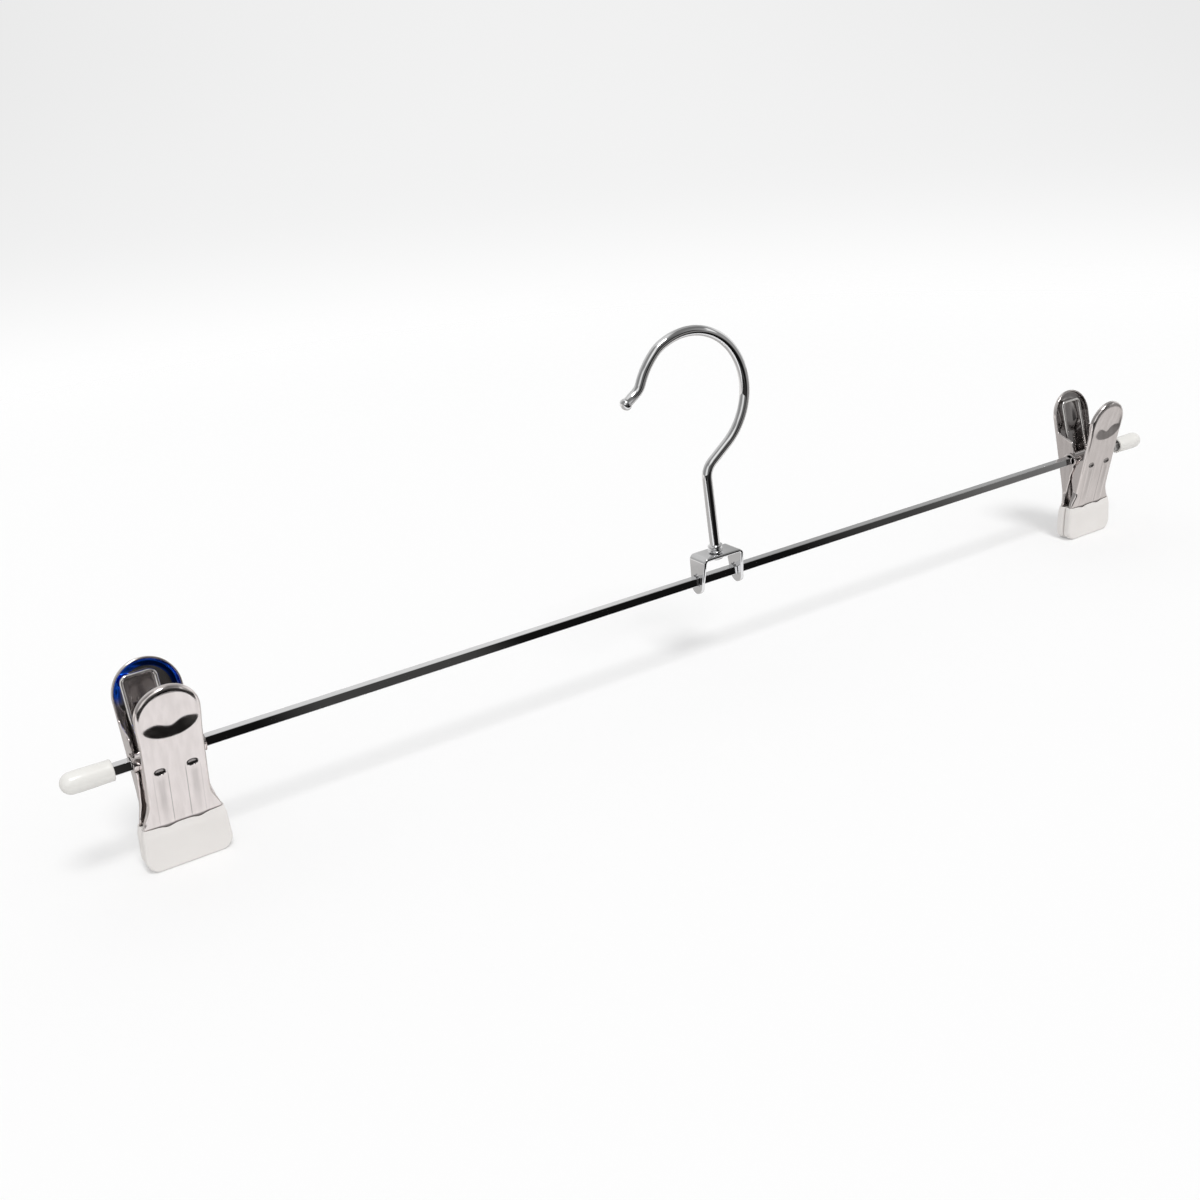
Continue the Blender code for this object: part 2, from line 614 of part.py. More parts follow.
def spring_seat(reach, face, bend):
    """(y, z) from the pivot of the wire's middle where it rests inside a head; its leg clears the thumb dish."""
    clear = SHEET + FIT_GAP + SPRING_WIRE / 2
    depth = clear
    for share in (0.0, 0.25, 0.5, 0.75, 1.0):
        for rise in (-0.5, 0.0, 0.5):
            dent = relief(SPRING_HALF_WIDTH * share, reach + rise * SPRING_WIRE, face.head_v)
            depth = max(depth, clear + dent)
    foot = PIVOT_DEPTH - bend
    for step in range(1, 12):
        v = reach * step / 12
        needed = clear + max(relief(x, v, face.head_v) for x in (SPRING_HALF_WIDTH - SPRING_WIRE / 2,
                                                                 SPRING_HALF_WIDTH, SPRING_HALF_WIDTH + SPRING_WIRE / 2))
        depth = max(depth, (needed - foot * (1 - v / reach)) * reach / v)
    return from_jaw(reach, depth)


def spring_path(shift):
    """Front end, front leg, under the tube, rear leg, cross piece, and back down the same way."""
    bend = TUBE_OUTER_RADIUS + FIT_GAP + SPRING_WIRE / 2
    seat = spring_seat(SPRING_REAR_REACH, REAR, bend)
    rear_seat = (-seat[0], seat[1])
    front_seat = spring_seat(SPRING_FRONT_REACH, FRONT, bend)
    rear = tangent_angle(rear_seat, bend, 1)
    front = tangent_angle(front_seat, bend, -1) - math.tau
    under = [(bend * math.cos(front + (rear - front) * i / 8), bend * math.sin(front + (rear - front) * i / 8))
             for i in range(9)]
    side = SPRING_HALF_WIDTH
    first = fillet_path([(side - SPRING_END, *front_seat), (side, *front_seat), (side, *under[0])], SPRING_BEND, 3)
    middle = [Vector((side, y, z)) for y, z in under[1:-1]]
    last = fillet_path([(side, *under[-1]), (side, *rear_seat), (0.0, *rear_seat)], SPRING_BEND, 3)
    half = first + middle + last[:-1]
    path = half + [Vector((-p.x, p.y, p.z)) for p in reversed(half)]
    return [p + Vector((shift, 0, 0)) for p in path]


def least_gap(path, radius):
    """Least clear distance between turns of a wire that lie apart along it."""
    points = np.array([tuple(p) for p in path])
    along = np.concatenate([[0.0], np.cumsum(np.linalg.norm(np.diff(points, axis=0), axis=1))])
    apart = np.linalg.norm(points[:, None] - points[None, :], axis=2)
    far = np.abs(along[:, None] - along[None, :]) > 6 * radius
    return float(apart[far].min() - 2 * radius)


def hook_path():
    """Headed end, collar, stem, kink, loop, tip and ball, as (u, v, wire radius) in the hook's own plane."""
    wire = HOOK_WIRE / 2
    plate = SADDLE_STRIP
    below = -plate - COLLAR_LIFT
    base = COLLAR_LIFT + COLLAR_BASE
    top = COLLAR_LIFT + COLLAR_HEIGHT
    stations = [(below - RIVET_HEAD, wire), (below - RIVET_HEAD + 0.3 * MM, RIVET_HEAD_RADIUS),
                (below - 0.3 * MM, RIVET_HEAD_RADIUS), (below, wire), (COLLAR_LIFT - 0.05 * MM, wire),
                (COLLAR_LIFT, COLLAR_BASE_RADIUS), (base, COLLAR_BASE_RADIUS),
                (base + 0.3 * MM, COLLAR_WAIST_RADIUS), (top - COLLAR_RIM - 0.3 * MM, COLLAR_WAIST_RADIUS),
                (top - COLLAR_RIM, COLLAR_RIM_RADIUS), (top, COLLAR_RIM_RADIUS), (top + 0.2 * MM, wire)]
    line = [(0.0, v, size) for v, size in stations]
    centre = Vector((*HOOK_LOOP_CENTRE, 0.0))
    kink = Vector((0.0, HOOK_STEM, 0.0))
    away = centre - kink
    leave = math.atan2(away.y, away.x) - math.asin(HOOK_LOOP_RADIUS / away.length)
    touch_angle = leave - math.pi / 2
    touch = centre + HOOK_LOOP_RADIUS * Vector((math.cos(touch_angle), math.sin(touch_angle), 0.0))
    for p in fillet_path([Vector((0.0, line[-1][1], 0.0)), kink, touch], HOOK_KINK_RADIUS, 5)[1:-1]:
        line.append((p.x, p.y, wire))
    steps = 20
    for i in range(steps + 1):
        angle = touch_angle + (HOOK_LOOP_END - touch_angle) * i / steps
        line.append((centre.x + HOOK_LOOP_RADIUS * math.cos(angle), centre.y + HOOK_LOOP_RADIUS * math.sin(angle), wire))
    heading = HOOK_LOOP_END + math.pi / 2
    for radius, turn in HOOK_TAIL:
        pole_x = line[-1][0] - radius * math.sin(heading)
        pole_y = line[-1][1] + radius * math.cos(heading)
        for i in range(1, 5):
            angle = heading + math.radians(turn) * i / 4
            line.append((pole_x + radius * math.sin(angle), pole_y - radius * math.cos(angle), wire))
        heading += math.radians(turn)
    ahead = Vector((math.cos(heading), math.sin(heading), 0.0))
    ball = HOOK_BALL / 2
    neck = math.asin(wire / ball)
    start = Vector((line[-1][0], line[-1][1], 0.0)) + ahead * HOOK_TIP_STRAIGHT
    middle = start + ahead * ball * math.cos(neck)
    for i in range(7):
        angle = neck + (math.radians(168) - neck) * i / 6
        p = middle - ahead * ball * math.cos(angle)
        line.append((p.x, p.y, ball * math.sin(angle)))
    return line


# Pieces

def make_bar(chrome):
    """The square bar, its long edges eased."""
    bm = bmesh.new()
    bmesh.ops.create_cube(bm, size=1.0)
    bmesh.ops.transform(bm, matrix=Matrix.Diagonal((BAR_LENGTH, BAR_SIDE, BAR_SIDE, 1.0)), verts=bm.verts)
    bar = add_object("cross_bar", mesh_from(bm, "cross_bar"), chrome, location=(0, 0, PIVOT_HEIGHT))
    bevel = bar.modifiers.new("edges", "BEVEL")
    bevel.width = BAR_EDGE
    bevel.segments = 2
    return bar


def make_cap(name, sign, plastic):
    """A dipped cap: a bullet with a round bore that the bar's end pushes into."""
    bore = HALF_DIAGONAL + RUNNING_GAP
    radius = bore + CAP_WALL
    floor = CAP_LENGTH - CAP_END
    lip = CAP_WALL / 2
    profile = [(0.0, bore)] + [(lip * (1 - math.cos(a)), radius - lip * (1 - math.sin(a)))
                               for a in (0.0, math.radians(45), math.radians(90))]
    profile += [(CAP_LENGTH - radius + radius * math.sin(math.radians(a)), radius * math.cos(math.radians(a)))
                for a in range(0, 91, 15)]
    profile += [(floor, 0.0), (floor, bore)]
    end = BAR_LENGTH / 2 + FIT_GAP + CAP_END
    cap = add_object(name, turned_mesh(name, profile), plastic)
    cap.rotation_euler = (0, 0, 0.0 if sign > 0 else math.pi)
    cap.location = (sign * (end - CAP_LENGTH), 0, PIVOT_HEIGHT)
    return cap


def make_tube(name, carrier, steel):
    """The pivot tube through both jaws' ears, its ends swaged into rims."""
    seat = REAR_WAIST + FIT_GAP
    end = seat + TUBE_RIM_THICKNESS
    rim = TUBE_OUTER_RADIUS + TUBE_RIM
    inner, outer = TUBE_INNER_RADIUS, TUBE_OUTER_RADIUS
    profile = [(-end, inner), (-end, rim), (-seat, rim), (-seat, outer), (seat, outer), (seat, rim), (end, rim),
               (end, inner)]
    return add_object(name, turned_mesh(name, profile), steel, carrier)


def make_spring(name, carrier, shift, steel):
    """The bow spring of one clip."""
    path = spring_path(shift)
    print(name, "least gap to itself, mm:", round(least_gap(path, SPRING_WIRE / 2) / MM, 3))
    return add_object(name, wire_curve(name, path, SPRING_WIRE / 2, 8), steel, carrier)


def make_clip(side, x, shift, finishes):
    """One clip: tube and spring on the sliding carrier, each jaw and its sleeve on the pivot axis."""
    carrier = empty(f"{side}_clip_slide", (x, 0, PIVOT_HEIGHT))
    make_tube(f"{side}_pivot_tube", carrier, finishes["steel"])
    make_spring(f"{side}_bow_spring", carrier, shift, finishes["spring"])
    for face in ("front", "rear"):
        pivot = empty(f"{side}_{face}_pivot", (0, 0, 0), carrier)
        make_jaw(f"{side}_{face}_jaw", face, pivot, finishes["steel"])
        make_sleeve(f"{side}_{face}_sleeve", face, pivot, finishes["vinyl"])


def saddle_mesh():
    """A strip bent into a U over the bar, its leg ends half round."""
    half = SADDLE_SPAN / 2
    low = -SADDLE_DROP - SADDLE_TOP
    foot = half + math.tan(SADDLE_SPLAY) * -low
    outer = fillet_path([(-foot, 0, low), (-half, 0, 0), (half, 0, 0), (foot, 0, low)], SADDLE_BEND, 4)
    reach = SADDLE_FOOT / 2
    ends = [(reach * (1 - math.cos(math.radians(a))), reach * math.sin(math.radians(a))) for a in (12, 30, 50, 70, 90)]
    leg = (outer[1] - outer[0]).normalized()
    path = [(outer[0] + leg * drop, depth) for drop, depth in ends]
    path += [(p, SADDLE_DEPTH / 2) for p in outer[1:-1]]
    leg = (outer[-2] - outer[-1]).normalized()
    path += [(outer[-1] + leg * drop, depth) for drop, depth in reversed(ends)]
    bm = bmesh.new()
    rings = []
    for i, (point, depth) in enumerate(path):
        ahead = path[min(i + 1, len(path) - 1)][0] - path[max(i - 1, 0)][0]
        inward = Vector((ahead.z, 0.0, -ahead.x)).normalized() * SADDLE_STRIP
        rings.append([bm.verts.new(p) for p in (point + Vector((0, -depth, 0)), point + Vector((0, depth, 0)),
                                                point + inward + Vector((0, depth, 0)),
                                                point + inward + Vector((0, -depth, 0)))])
    for first, second in zip(rings, rings[1:]):
        for i in range(4):
            j = (i + 1) % 4
            bm.faces.new((first[i], first[j], second[j], second[i]))
    bm.faces.new(rings[0])
    bm.faces.new(list(reversed(rings[-1])))
    return mesh_from(bm, "saddle", math.radians(35))


def hook_frame():
    """Where the hook turns: an upright axis that leans a little in its loose hole."""
    return Matrix.Translation((HOOK_X, 0, SADDLE_Z)) @ Matrix.Rotation(HOOK_LEAN, 4, "Y")


def make_saddle(chrome):
    """The saddle with its keyholes for the bar and its hole for the hook."""
    saddle = add_object("saddle", saddle_mesh(), chrome, location=(SADDLE_X, 0, SADDLE_Z))
    side = BAR_SIDE / 2 + FIT_GAP
    reach = SADDLE_SPAN
    square = [(-side, -side), (side, -side), (side, side), (-side, side)]
    place = (SADDLE_X, 0, PIVOT_HEIGHT)
    cut(saddle, cutter("saddle_square", prism_mesh("saddle_square", square, -reach, reach), location=place))
    notch = circle_points(SADDLE_KEYHOLE, 12, (0.0, side))
    cut(saddle, cutter("saddle_notch", prism_mesh("saddle_notch", notch, -reach, reach), location=place))
    bm = bmesh.new()
    bmesh.ops.create_cone(bm, cap_ends=True, segments=24, radius1=HOOK_WIRE / 2 + HOOK_HOLE_GAP,
                          radius2=HOOK_WIRE / 2 + HOOK_HOLE_GAP, depth=4 * SADDLE_STRIP)
    drill = cutter("saddle_drill", mesh_from(bm, "saddle_drill"))
    drill.matrix_basis = hook_frame()
    cut(saddle, drill)
    return saddle


def make_hook(chrome):
    """The wire hook, standing on the axis that it swivels about."""
    line = hook_path()
    path = [(u, 0.0, v) for u, v, _ in line]
    curve = wire_curve("hook", path, HOOK_WIRE / 2, 12, [size for _, _, size in line])
    hook = add_object("hook", curve, chrome)
    hook.matrix_basis = hook_frame()
    return hook


def build():
    """Makes every piece."""
    clear_scene()
    chrome = finish("chrome", (0.78, 0.78, 0.79), 1.0, 0.07)
    finishes = {"steel": finish("pressed_steel", (0.80, 0.76, 0.75), 1.0, 0.22),
                "spring": finish("spring_steel", (0.72, 0.71, 0.70), 1.0, 0.12),
                "vinyl": finish("sleeve_vinyl", (0.86, 0.84, 0.82), 0.0, 0.45)}
    cap_vinyl = finish("cap_vinyl", (0.84, 0.83, 0.80), 0.0, 0.3, coat=0.3)
    make_bar(chrome)
    make_cap("left_end_cap", -1, cap_vinyl)
    make_cap("right_end_cap", 1, cap_vinyl)
    make_saddle(chrome)
    make_hook(chrome)
    make_clip("left", LEFT_CLIP_X, LEFT_SPRING_SHIFT, finishes)
    make_clip("right", RIGHT_CLIP_X, RIGHT_SPRING_SHIFT, finishes)


build()
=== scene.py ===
"""Metal clip hanger on a pale floor: fine surfaces for its pieces, their finishes, the light and the camera.

Everything is in metres in the frame of the solids: the bar runs along X, y = 0 is the plane in which the
tips of each clip meet, and z = 0 is the floor.
"""
from math import acos, asin, atan2, cos, pi, radians, sin, tan, tau

import bmesh
import bpy
import numpy as np
from mathutils import Matrix, Vector


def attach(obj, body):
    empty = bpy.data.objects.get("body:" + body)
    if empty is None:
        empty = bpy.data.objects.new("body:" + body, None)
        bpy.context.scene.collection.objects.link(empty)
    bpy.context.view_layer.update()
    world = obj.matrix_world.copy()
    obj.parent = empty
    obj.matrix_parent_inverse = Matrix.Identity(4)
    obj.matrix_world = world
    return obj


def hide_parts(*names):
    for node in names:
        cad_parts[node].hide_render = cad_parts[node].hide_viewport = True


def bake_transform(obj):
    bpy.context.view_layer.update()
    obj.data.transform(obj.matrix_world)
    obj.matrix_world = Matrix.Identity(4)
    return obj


MM = 0.001

# Cleaning and shading of the meshes
MERGE_DISTANCE = 2e-7
EMPTY_DISTANCE = 1e-7
SHARP_ANGLE = 35.0

# Bar, caps and the places of the clips
BAR_SIDE = 2.9 * MM
BAR_LENGTH = 442.05 * MM
BAR_EDGE = 0.15 * MM
FLAT_HOLD = 0.08 * MM
PIVOT_HEIGHT = 33.8 * MM
CAP_LENGTH = 14.25 * MM
CAP_RADIUS = 3.15 * MM
CAP_BORE = 2.3 * MM
CAP_FLOOR = 11.45 * MM
CAP_OVERHANG = 3.1 * MM
CAP_WAIST = 0.06 * MM
CLIP_X = {"left": -194.425 * MM, "right": 191.875 * MM}

# Jaws: v runs up along a jaw from its pivot, q goes inwards from its outer face
SHEET = 0.7 * MM
LEAN = radians(11.75)
HEAD_RADIUS = {"front": 9.2 * MM, "rear": 9.95 * MM}
HEAD_V = {"front": 16.56 * MM, "rear": 17.16 * MM}
WAIST = {"front": 8.9 * MM, "rear": 9.9 * MM}
SHOULDER = 11.3 * MM
TIP_HALF_WIDTH = 11.8 * MM
TIP_CORNER = 3.4 * MM
TIP_FLOOR_GAP = 1.0 * MM
WAIST_RUN = 4 * MM
WAIST_FLARE = 0.1 * MM
HEAD_START = 1 * MM
EDGE_RADIUS = 1.25 * MM
TIP_EDGE = 0.25 * MM
EDGE_RUN = 2.5 * MM
LEAST_FLANGE = 0.01 * MM
LEAST_BEND = 0.05 * MM
RIM_DEPTH = 2.1 * MM
HANDLE_FLANGE = 1.45 * MM
EAR_HOLE = 2.85 * MM
EAR_REACH = 3.45 * MM
EAR_LIP = 1.6 * MM
EAR_FRONT = 1.9 * MM
EAR_TOP = 6.4 * MM
EAR_BACK = 0.9 * MM
EAR_SHOULDER = 11.8 * MM
CRADLE_TOP = 0.4 * MM
CRADLE_LIP = 4.4 * MM
CRADLE_RUN = 4.6 * MM
CRADLE_STEP = 0.04 * MM
EAR_DRILL = 14 * MM
SLIT_TOP = 8.1 * MM
SLIT_DEPTH = 5.1 * MM
NECK_FLANGE = 1.7 * MM
NECK_RUN = 1.5 * MM
BEND_HEIGHT = 13.5 * MM
BEND_RADIUS = 12.0 * MM
TIP_FACE = 2.55 * MM
PIVOT_DEPTH = TIP_FACE * cos(LEAN) + (PIVOT_HEIGHT - BEND_HEIGHT) * sin(LEAN)

# Relief pressed into a jaw
RIB_MIDDLE = 4.6 * MM
RIB_HALF_WIDTH = 2.1 * MM
RIB_HEIGHT = 0.32 * MM
RIB_TOP_RUN = 3 * MM
RIB_FOOT_RUN = 2 * MM
DIMPLE_V = -0.7 * MM
DIMPLE_HALF = (1.65 * MM, 1.05 * MM)
DIMPLE_DEPTH = 0.5 * MM
DIMPLE_MARGIN = 1.2 * MM
DIMPLE_Z = 31.75 * MM          # its middle over the floor
DISH_HALF_WIDTH = 8.1 * MM
DISH_DEPTH = 1.15 * MM
DISH_RIDGE = 0.48
DISH_RIDGE_WIDTH = 2.8 * MM
DISH_TOP = 7.3 * MM
DISH_SIDES = 2.1 * MM
DISH_SAG = 5.1 * MM
WALL_TOP = 0.8 * MM
WALL_DIP = 1.8 * MM
WALL_DIP_WIDTH = 3.0 * MM
WALL_DROOP = 0.7 * MM
WALL_LEAST = 0.2 * MM
RIM_LEFT_BRIGHT = 0.45 * MM
# Inner radius of the blue band along the inside of the rim
BLUE_RIM_INSIDE = 7.1 * MM

# Sleeves
SLEEVE_TOP = 13.5 * MM
SLEEVE_FACE = 3.45 * MM
SLEEVE_BACK = 0.15 * MM
SLEEVE_CORNER = 4.0 * MM
SLEEVE_ROUND = 0.6 * MM
SLEEVE_MARGIN = 0.9 * MM
SLEEVE_TAPER = 2.6 * MM
SLEEVE_THINNING = 0.45 * MM
SLEEVE_SIDE_ROUND = 1.0 * MM
SOLE_NARROWING = 0.96
WAVE_START = 7 * MM
WAVE_WIDTH = 1.7 * MM
WAVE_ENDS = 0.35 * MM
WAVE_DIP = 0.55 * MM
WAVE_SINK = 0.1 * MM
# Rings of the lip that closes in on the steel: share of the way in, share of the width, rise
SLEEVE_LIP = ((0.064, 0.9976, 0.05 * MM), (0.192, 0.9928, 0.03 * MM),
              (0.64, 0.976, -0.25 * MM), (0.98, 0.97, -0.6 * MM))

# Pivot tube and spring
TUBE_BORE = 2.06 * MM
TUBE_RADIUS = 2.6 * MM
TUBE_RIM = 2.88 * MM
TUBE_SEAT = 10.2 * MM
TUBE_END = 10.42 * MM
TUBE_SOFT_EDGE = 0.1 * MM
SPRING_WIRE = 1.2 * MM
SPRING_SIDE = 4.85 * MM
SPRING_REAR_REACH = 22.9 * MM
SPRING_FRONT_REACH = 19.9 * MM
SPRING_END = 2.6 * MM
SPRING_BEND = 1.7 * MM
SPRING_GAP = 0.3 * MM
SPRING_TILT = np.array([0.35, 0.93, 0.12])    # a direction that is never along the wire
SPRING_SHIFT = {"left": -1.7 * MM, "right": -0.5 * MM}

# Saddle and hook
SADDLE_X = -0.35 * MM
SADDLE_Z = 42.3 * MM
SADDLE_SPAN = 16.7 * MM
SADDLE_DEPTH = 8.6 * MM
SADDLE_FOOT = 6.4 * MM
SADDLE_STRIP = 1.2 * MM
SADDLE_DROP = 13.2 * MM
SADDLE_BEND = 1.9 * MM
SADDLE_SPLAY = radians(4.0)
SADDLE_ROUND = 0.42 * MM
BAR_HOLE = 1.75 * MM
KEY_NOTCH = 0.8 * MM
BAR_DRILL = 20 * MM
HOOK_DRILL = 4 * MM
HOOK_X = -0.6 * MM
HOOK_HOLE = 2.075 * MM
HOOK_WIRE = 1.715 * MM
HOOK_LEAN = radians(-4.7)
HOOK_STEM = 30.0 * MM
HOOK_LOOP = 22.53 * MM
HOOK_CENTRE = (-2.85 * MM, 55.05 * MM)
HOOK_END = radians(114.5)
HOOK_KINK = 6.5 * MM
HOOK_TAIL = ((11.0 * MM, 13.5), (24.7 * MM, 25.8), (-6.0 * MM, -34.0))
HOOK_TIP_STRAIGHT = 3.8 * MM
HOOK_BALL = 2.07 * MM
HOOK_BALL_FLAT = 0.84
COLLAR_LIFT = 0.45 * MM
COLLAR_HEIGHT = 2.3 * MM
STEM_START = 0.5 * MM
STEM_CHECKED = 12 * MM
KINK_START = 8 * MM
LUG_START = 0.6 * MM
LUG_HEIGHT = 1.6 * MM
LUG_OUT = 0.1
LUG_IN = 0.06
# Peened head and collar in millimetres: depth under the strip or height over the lift, then the radius
HOOK_HEAD = ((1.1, 0.0), (1.08, 1.2), (0.95, 1.85), (0.65, 2.35), (0.35, 2.5), (0.12, 2.45), (0.0, 2.2))
HOOK_COLLAR = ((0.0, 2.5), (0.08, 2.68), (0.25, 2.75), (0.42, 2.7), (0.52, 2.5), (0.62, 2.15), (0.8, 1.97),
               (1.1, 1.95), (1.3, 2.05), (1.42, 2.28), (1.55, 2.42), (1.8, 2.45), (2.0, 2.38), (2.1, 2.2),
               (2.18, 1.85))

# Camera, from a fit to the photograph
CAMERA_PLACE = (-0.2780851, -0.3686650, 0.2121005)
CAMERA_YAW = 0.5563
CAMERA_PITCH = -0.3814
CAMERA_ROLL = -0.0808
CAMERA_LENS = 42.794

# Floor and cards
FLOOR_GLOW = 0.146
FLOOR_REACH = 1.6
FLOOR_FADE = (0.42, 0.85)
SHEET_FRONT = -61 * MM
SHEET_REAR = -8 * MM
DULL_SPAN = (100 * MM, 500 * MM)
CARD_HEIGHT = 0.5 * MM
CARD_FAR = 700 * MM
CARD_WIDE = 900 * MM
CARD_TINT = (1.0, 0.98, 0.96, 1.0)


# Shader arithmetic

def through(operation):
    """A method that sends a wire and one more value through a Math node."""
    return lambda wire, other: wire.math(operation, other)


class Wire:
    """A shader socket in plain arithmetic: each operator adds the Math node that it needs."""

    __add__ = __radd__ = through("ADD")
    __sub__ = through("SUBTRACT")
    __mul__ = __rmul__ = through("MULTIPLY")
    __truediv__ = through("DIVIDE")
    __pow__ = through("POWER")

    def __init__(self, finish, socket):
        self.finish = finish
        self.socket = socket

    def math(self, operation, *others):
        """This socket and others through one Math node."""
        return self.finish.node("ShaderNodeMath", {"operation": operation}, dict(enumerate((self, *others))))

    def __rsub__(self, other):
        return self.finish.node("ShaderNodeMath", {"operation": "SUBTRACT"}, {0: other, 1: self})

    def toward(self, goal, share):
        """This value moved by a share of the way to a goal."""
        return self + (goal - self) * share

    def step(self, low, high):
        """Smooth step from 0 at low to 1 at high."""
        return self.finish.node("ShaderNodeMapRange", {"interpolation_type": "SMOOTHSTEP"},
                                {"Value": self, "From Min": low, "From Max": high})

    def fall(self, low, high):
        """Smooth step from 1 at low to 0 at high."""
        return 1.0 - self.step(low, high)

    def hump(self, middle, flat, fade):
        """1 within flat of the middle, falling to 0 at fade."""
        return (self - middle).math("ABSOLUTE").fall(flat, fade)


class Finish:
    """A material or world whose nodes are added one call at a time."""

    def __init__(self, owner):
        self.owner = owner
        owner.use_nodes = True
        self.tree = owner.node_tree

    def feed(self, socket, value):
        """Links a wire into a socket, or sets its plain value."""
        if isinstance(value, Wire):
            self.tree.links.new(value.socket, socket)
        else:
            socket.default_value = value

    def node(self, kind, settings=None, inputs=None, output=0):
        """Adds a node: its settings first, then its sockets."""
        made = self.tree.nodes.new(kind)
        for key, value in (settings or {}).items():
            setattr(made, key, value)
        for key, value in (inputs or {}).items():
            self.feed(made.inputs[key], value)
        return Wire(self, made.outputs[output])

    def noise(self, detail, *scale):
        """Noise from 0 to 1 over object coordinates, at one scale or at three for X, Y and Z."""
        places = self.node("ShaderNodeTexCoord", output="Object")
        if len(scale) == 3:
            places = self.node("ShaderNodeMapping", None, {"Vector": places, "Scale": scale})
            scale = (1.0,)
        return self.node("ShaderNodeTexNoise", None, {"Vector": places, "Scale": scale[0], "Detail": detail})

    def attribute(self, name):
        """A number that the mesh carries at its points."""
        return self.node("ShaderNodeAttribute", {"attribute_name": name}, output="Fac")

    def bump(self, height, strength, distance):
        """Normal from a height field."""
        return self.node("ShaderNodeBump", None,
                         {"Height": height, "Strength": strength, "Distance": distance})

    def blend(self, share, first, second):
        """A colour between two colours."""
        return self.node("ShaderNodeMix", {"data_type": "RGBA"}, {0: share, 6: first, 7: second}, output=2)

    def place(self, kind="Object"):
        """X, Y and Z of a coordinate."""
        split = self.node("ShaderNodeSeparateXYZ", None, {0: self.node("ShaderNodeTexCoord", output=kind)})
        return [Wire(self, split.socket.node.outputs[i]) for i in range(3)]

    def shade(self, **sockets):
        """Feeds sockets of the Principled shader; an underscore stands for a space in their names."""
        for key, value in sockets.items():
            self.feed(self.tree.nodes["Principled BSDF"].inputs[key.replace("_", " ")], value)
        return self.owner


def new_material(name):
    """The finish of a new material."""
    return Finish(bpy.data.materials.new(name))


def rgb(red, green, blue):
    """A colour with full alpha."""
    return (red, green, blue, 1.0)


def make_chrome():
    """Bright chromium plate: a faint mottle in tone and polish, and a slight long waviness."""
    finish = new_material("chrome plate")
    mottle = finish.noise(3.0, 420.0)
    wave = finish.noise(1.0, 60, 400, 400)
    colour = finish.blend(mottle, rgb(0.74, 0.74, 0.75), rgb(0.83, 0.83, 0.84))
    return finish.shade(Metallic=1.0, Base_Color=colour, Roughness=mottle * 0.02 + 0.015,
                        Normal=finish.bump(wave, 0.25, 0.05 * MM))


# Steel tones of each clip: the right clip's tones are darker, a painted shade on the same steel
STEEL_TONES_RIGHT_SHADED = {"left": (rgb(0.70, 0.65, 0.638), rgb(0.83, 0.775, 0.765)),
               "right": (rgb(0.65, 0.61, 0.60), rgb(0.78, 0.735, 0.728))}
# How strongly shade is painted into the dimples of each clip
DIMPLE_SHADE_STRENGTH = {"left": 1.0, "right": 0.7}
# Colour of the blue band along the inside of the left rear jaw's rim
RIM_BLUE = rgb(0.015, 0.14, 0.95)


def make_pressed_steel(side, blue_rim=False):
    """Polished pressed steel, faintly warm, with drawing lines up the jaw; painted shade along the edges of
    its ribs and in a band down them, in the dimples, along the sleeve's top and over the inside of the sheet;
    on request a blue band lies along the inside of the rim, by attribute."""
    finish = new_material(f"pressed bright steel {side}{' blue rim' if blue_rim else ''}")
    x, _, z = finish.place()
    mottle = finish.noise(3.0, 260.0)
    lines = finish.noise(2.0, 2600, 2600, 70)
    streaks = finish.noise(2.0, 650, 650, 25).step(0.3, 0.7)
    base = finish.blend(mottle * 0.5 + streaks * 0.5, *STEEL_TONES_RIGHT_SHADED[side])
    aside = (x - CLIP_X[side]).math("ABSOLUTE") - RIB_MIDDLE
    # Painted shade: thin dark lines along both edges of each rib, stronger on the edge towards the clip's
    # middle
    crease_shade = (aside.math("ABSOLUTE") - RIB_HALF_WIDTH).math("ABSOLUTE").fall(0.04 * MM, 0.17 * MM)
    crease_shade = crease_shade * z.step(13.5 * MM, 15 * MM) * z.fall(29 * MM, 33 * MM)
    crease_shade = crease_shade * (0.45 - aside.step(-1 * MM, 1 * MM) * 0.3)
    # Painted shade: a soft darker band down the middle of each rib
    band = aside.hump(0.1 * MM, 0.3 * MM, 1.5 * MM) * z.step(12 * MM, 24 * MM) * z.fall(28.5 * MM, 30.5 * MM)
    # Painted shade in the oval dimples, darkest in a ring near their edge
    oval = ((aside / DIMPLE_HALF[0]) ** 2.0 + ((z - DIMPLE_Z) / DIMPLE_HALF[1]) ** 2.0).math("SQRT")
    dimple_shade = oval.fall(0.9, 1.1) * (0.62 + oval.hump(0.86, 0.1, 0.3) * 0.33) * DIMPLE_SHADE_STRENGTH[side]
    # Painted shade on the steel just above the sleeve's top
    sleeve_edge_shade = z.fall(SLEEVE_TOP, SLEEVE_TOP + 0.6 * MM)
    # Painted shade over the inside of the sheet, from attribute inner
    shade = 1.0 - finish.attribute("inner") * 0.48
    # Each painted shade darkens the colour in turn
    for shade_share in (crease_shade, dimple_shade, sleeve_edge_shade * 0.7, band * 0.2):
        shade = shade * (1.0 - shade_share)
    base = finish.node("ShaderNodeVectorMath", {"operation": "MULTIPLY"}, {0: base, 1: shade})
    polish = lines * 0.07 + mottle * 0.06 + 0.08
    # A blue band along the inside of the rim, a little glossier
    if blue_rim:
        blue_share = finish.attribute("blue_rim")
        base = finish.blend(blue_share, base, RIM_BLUE)
        polish = polish * (1.0 - blue_share * 0.4)
    return finish.shade(Metallic=1.0, Base_Color=base, Roughness=polish,
                        Normal=finish.bump(lines * 0.35 + mottle * 0.5, 0.2, 0.04 * MM))


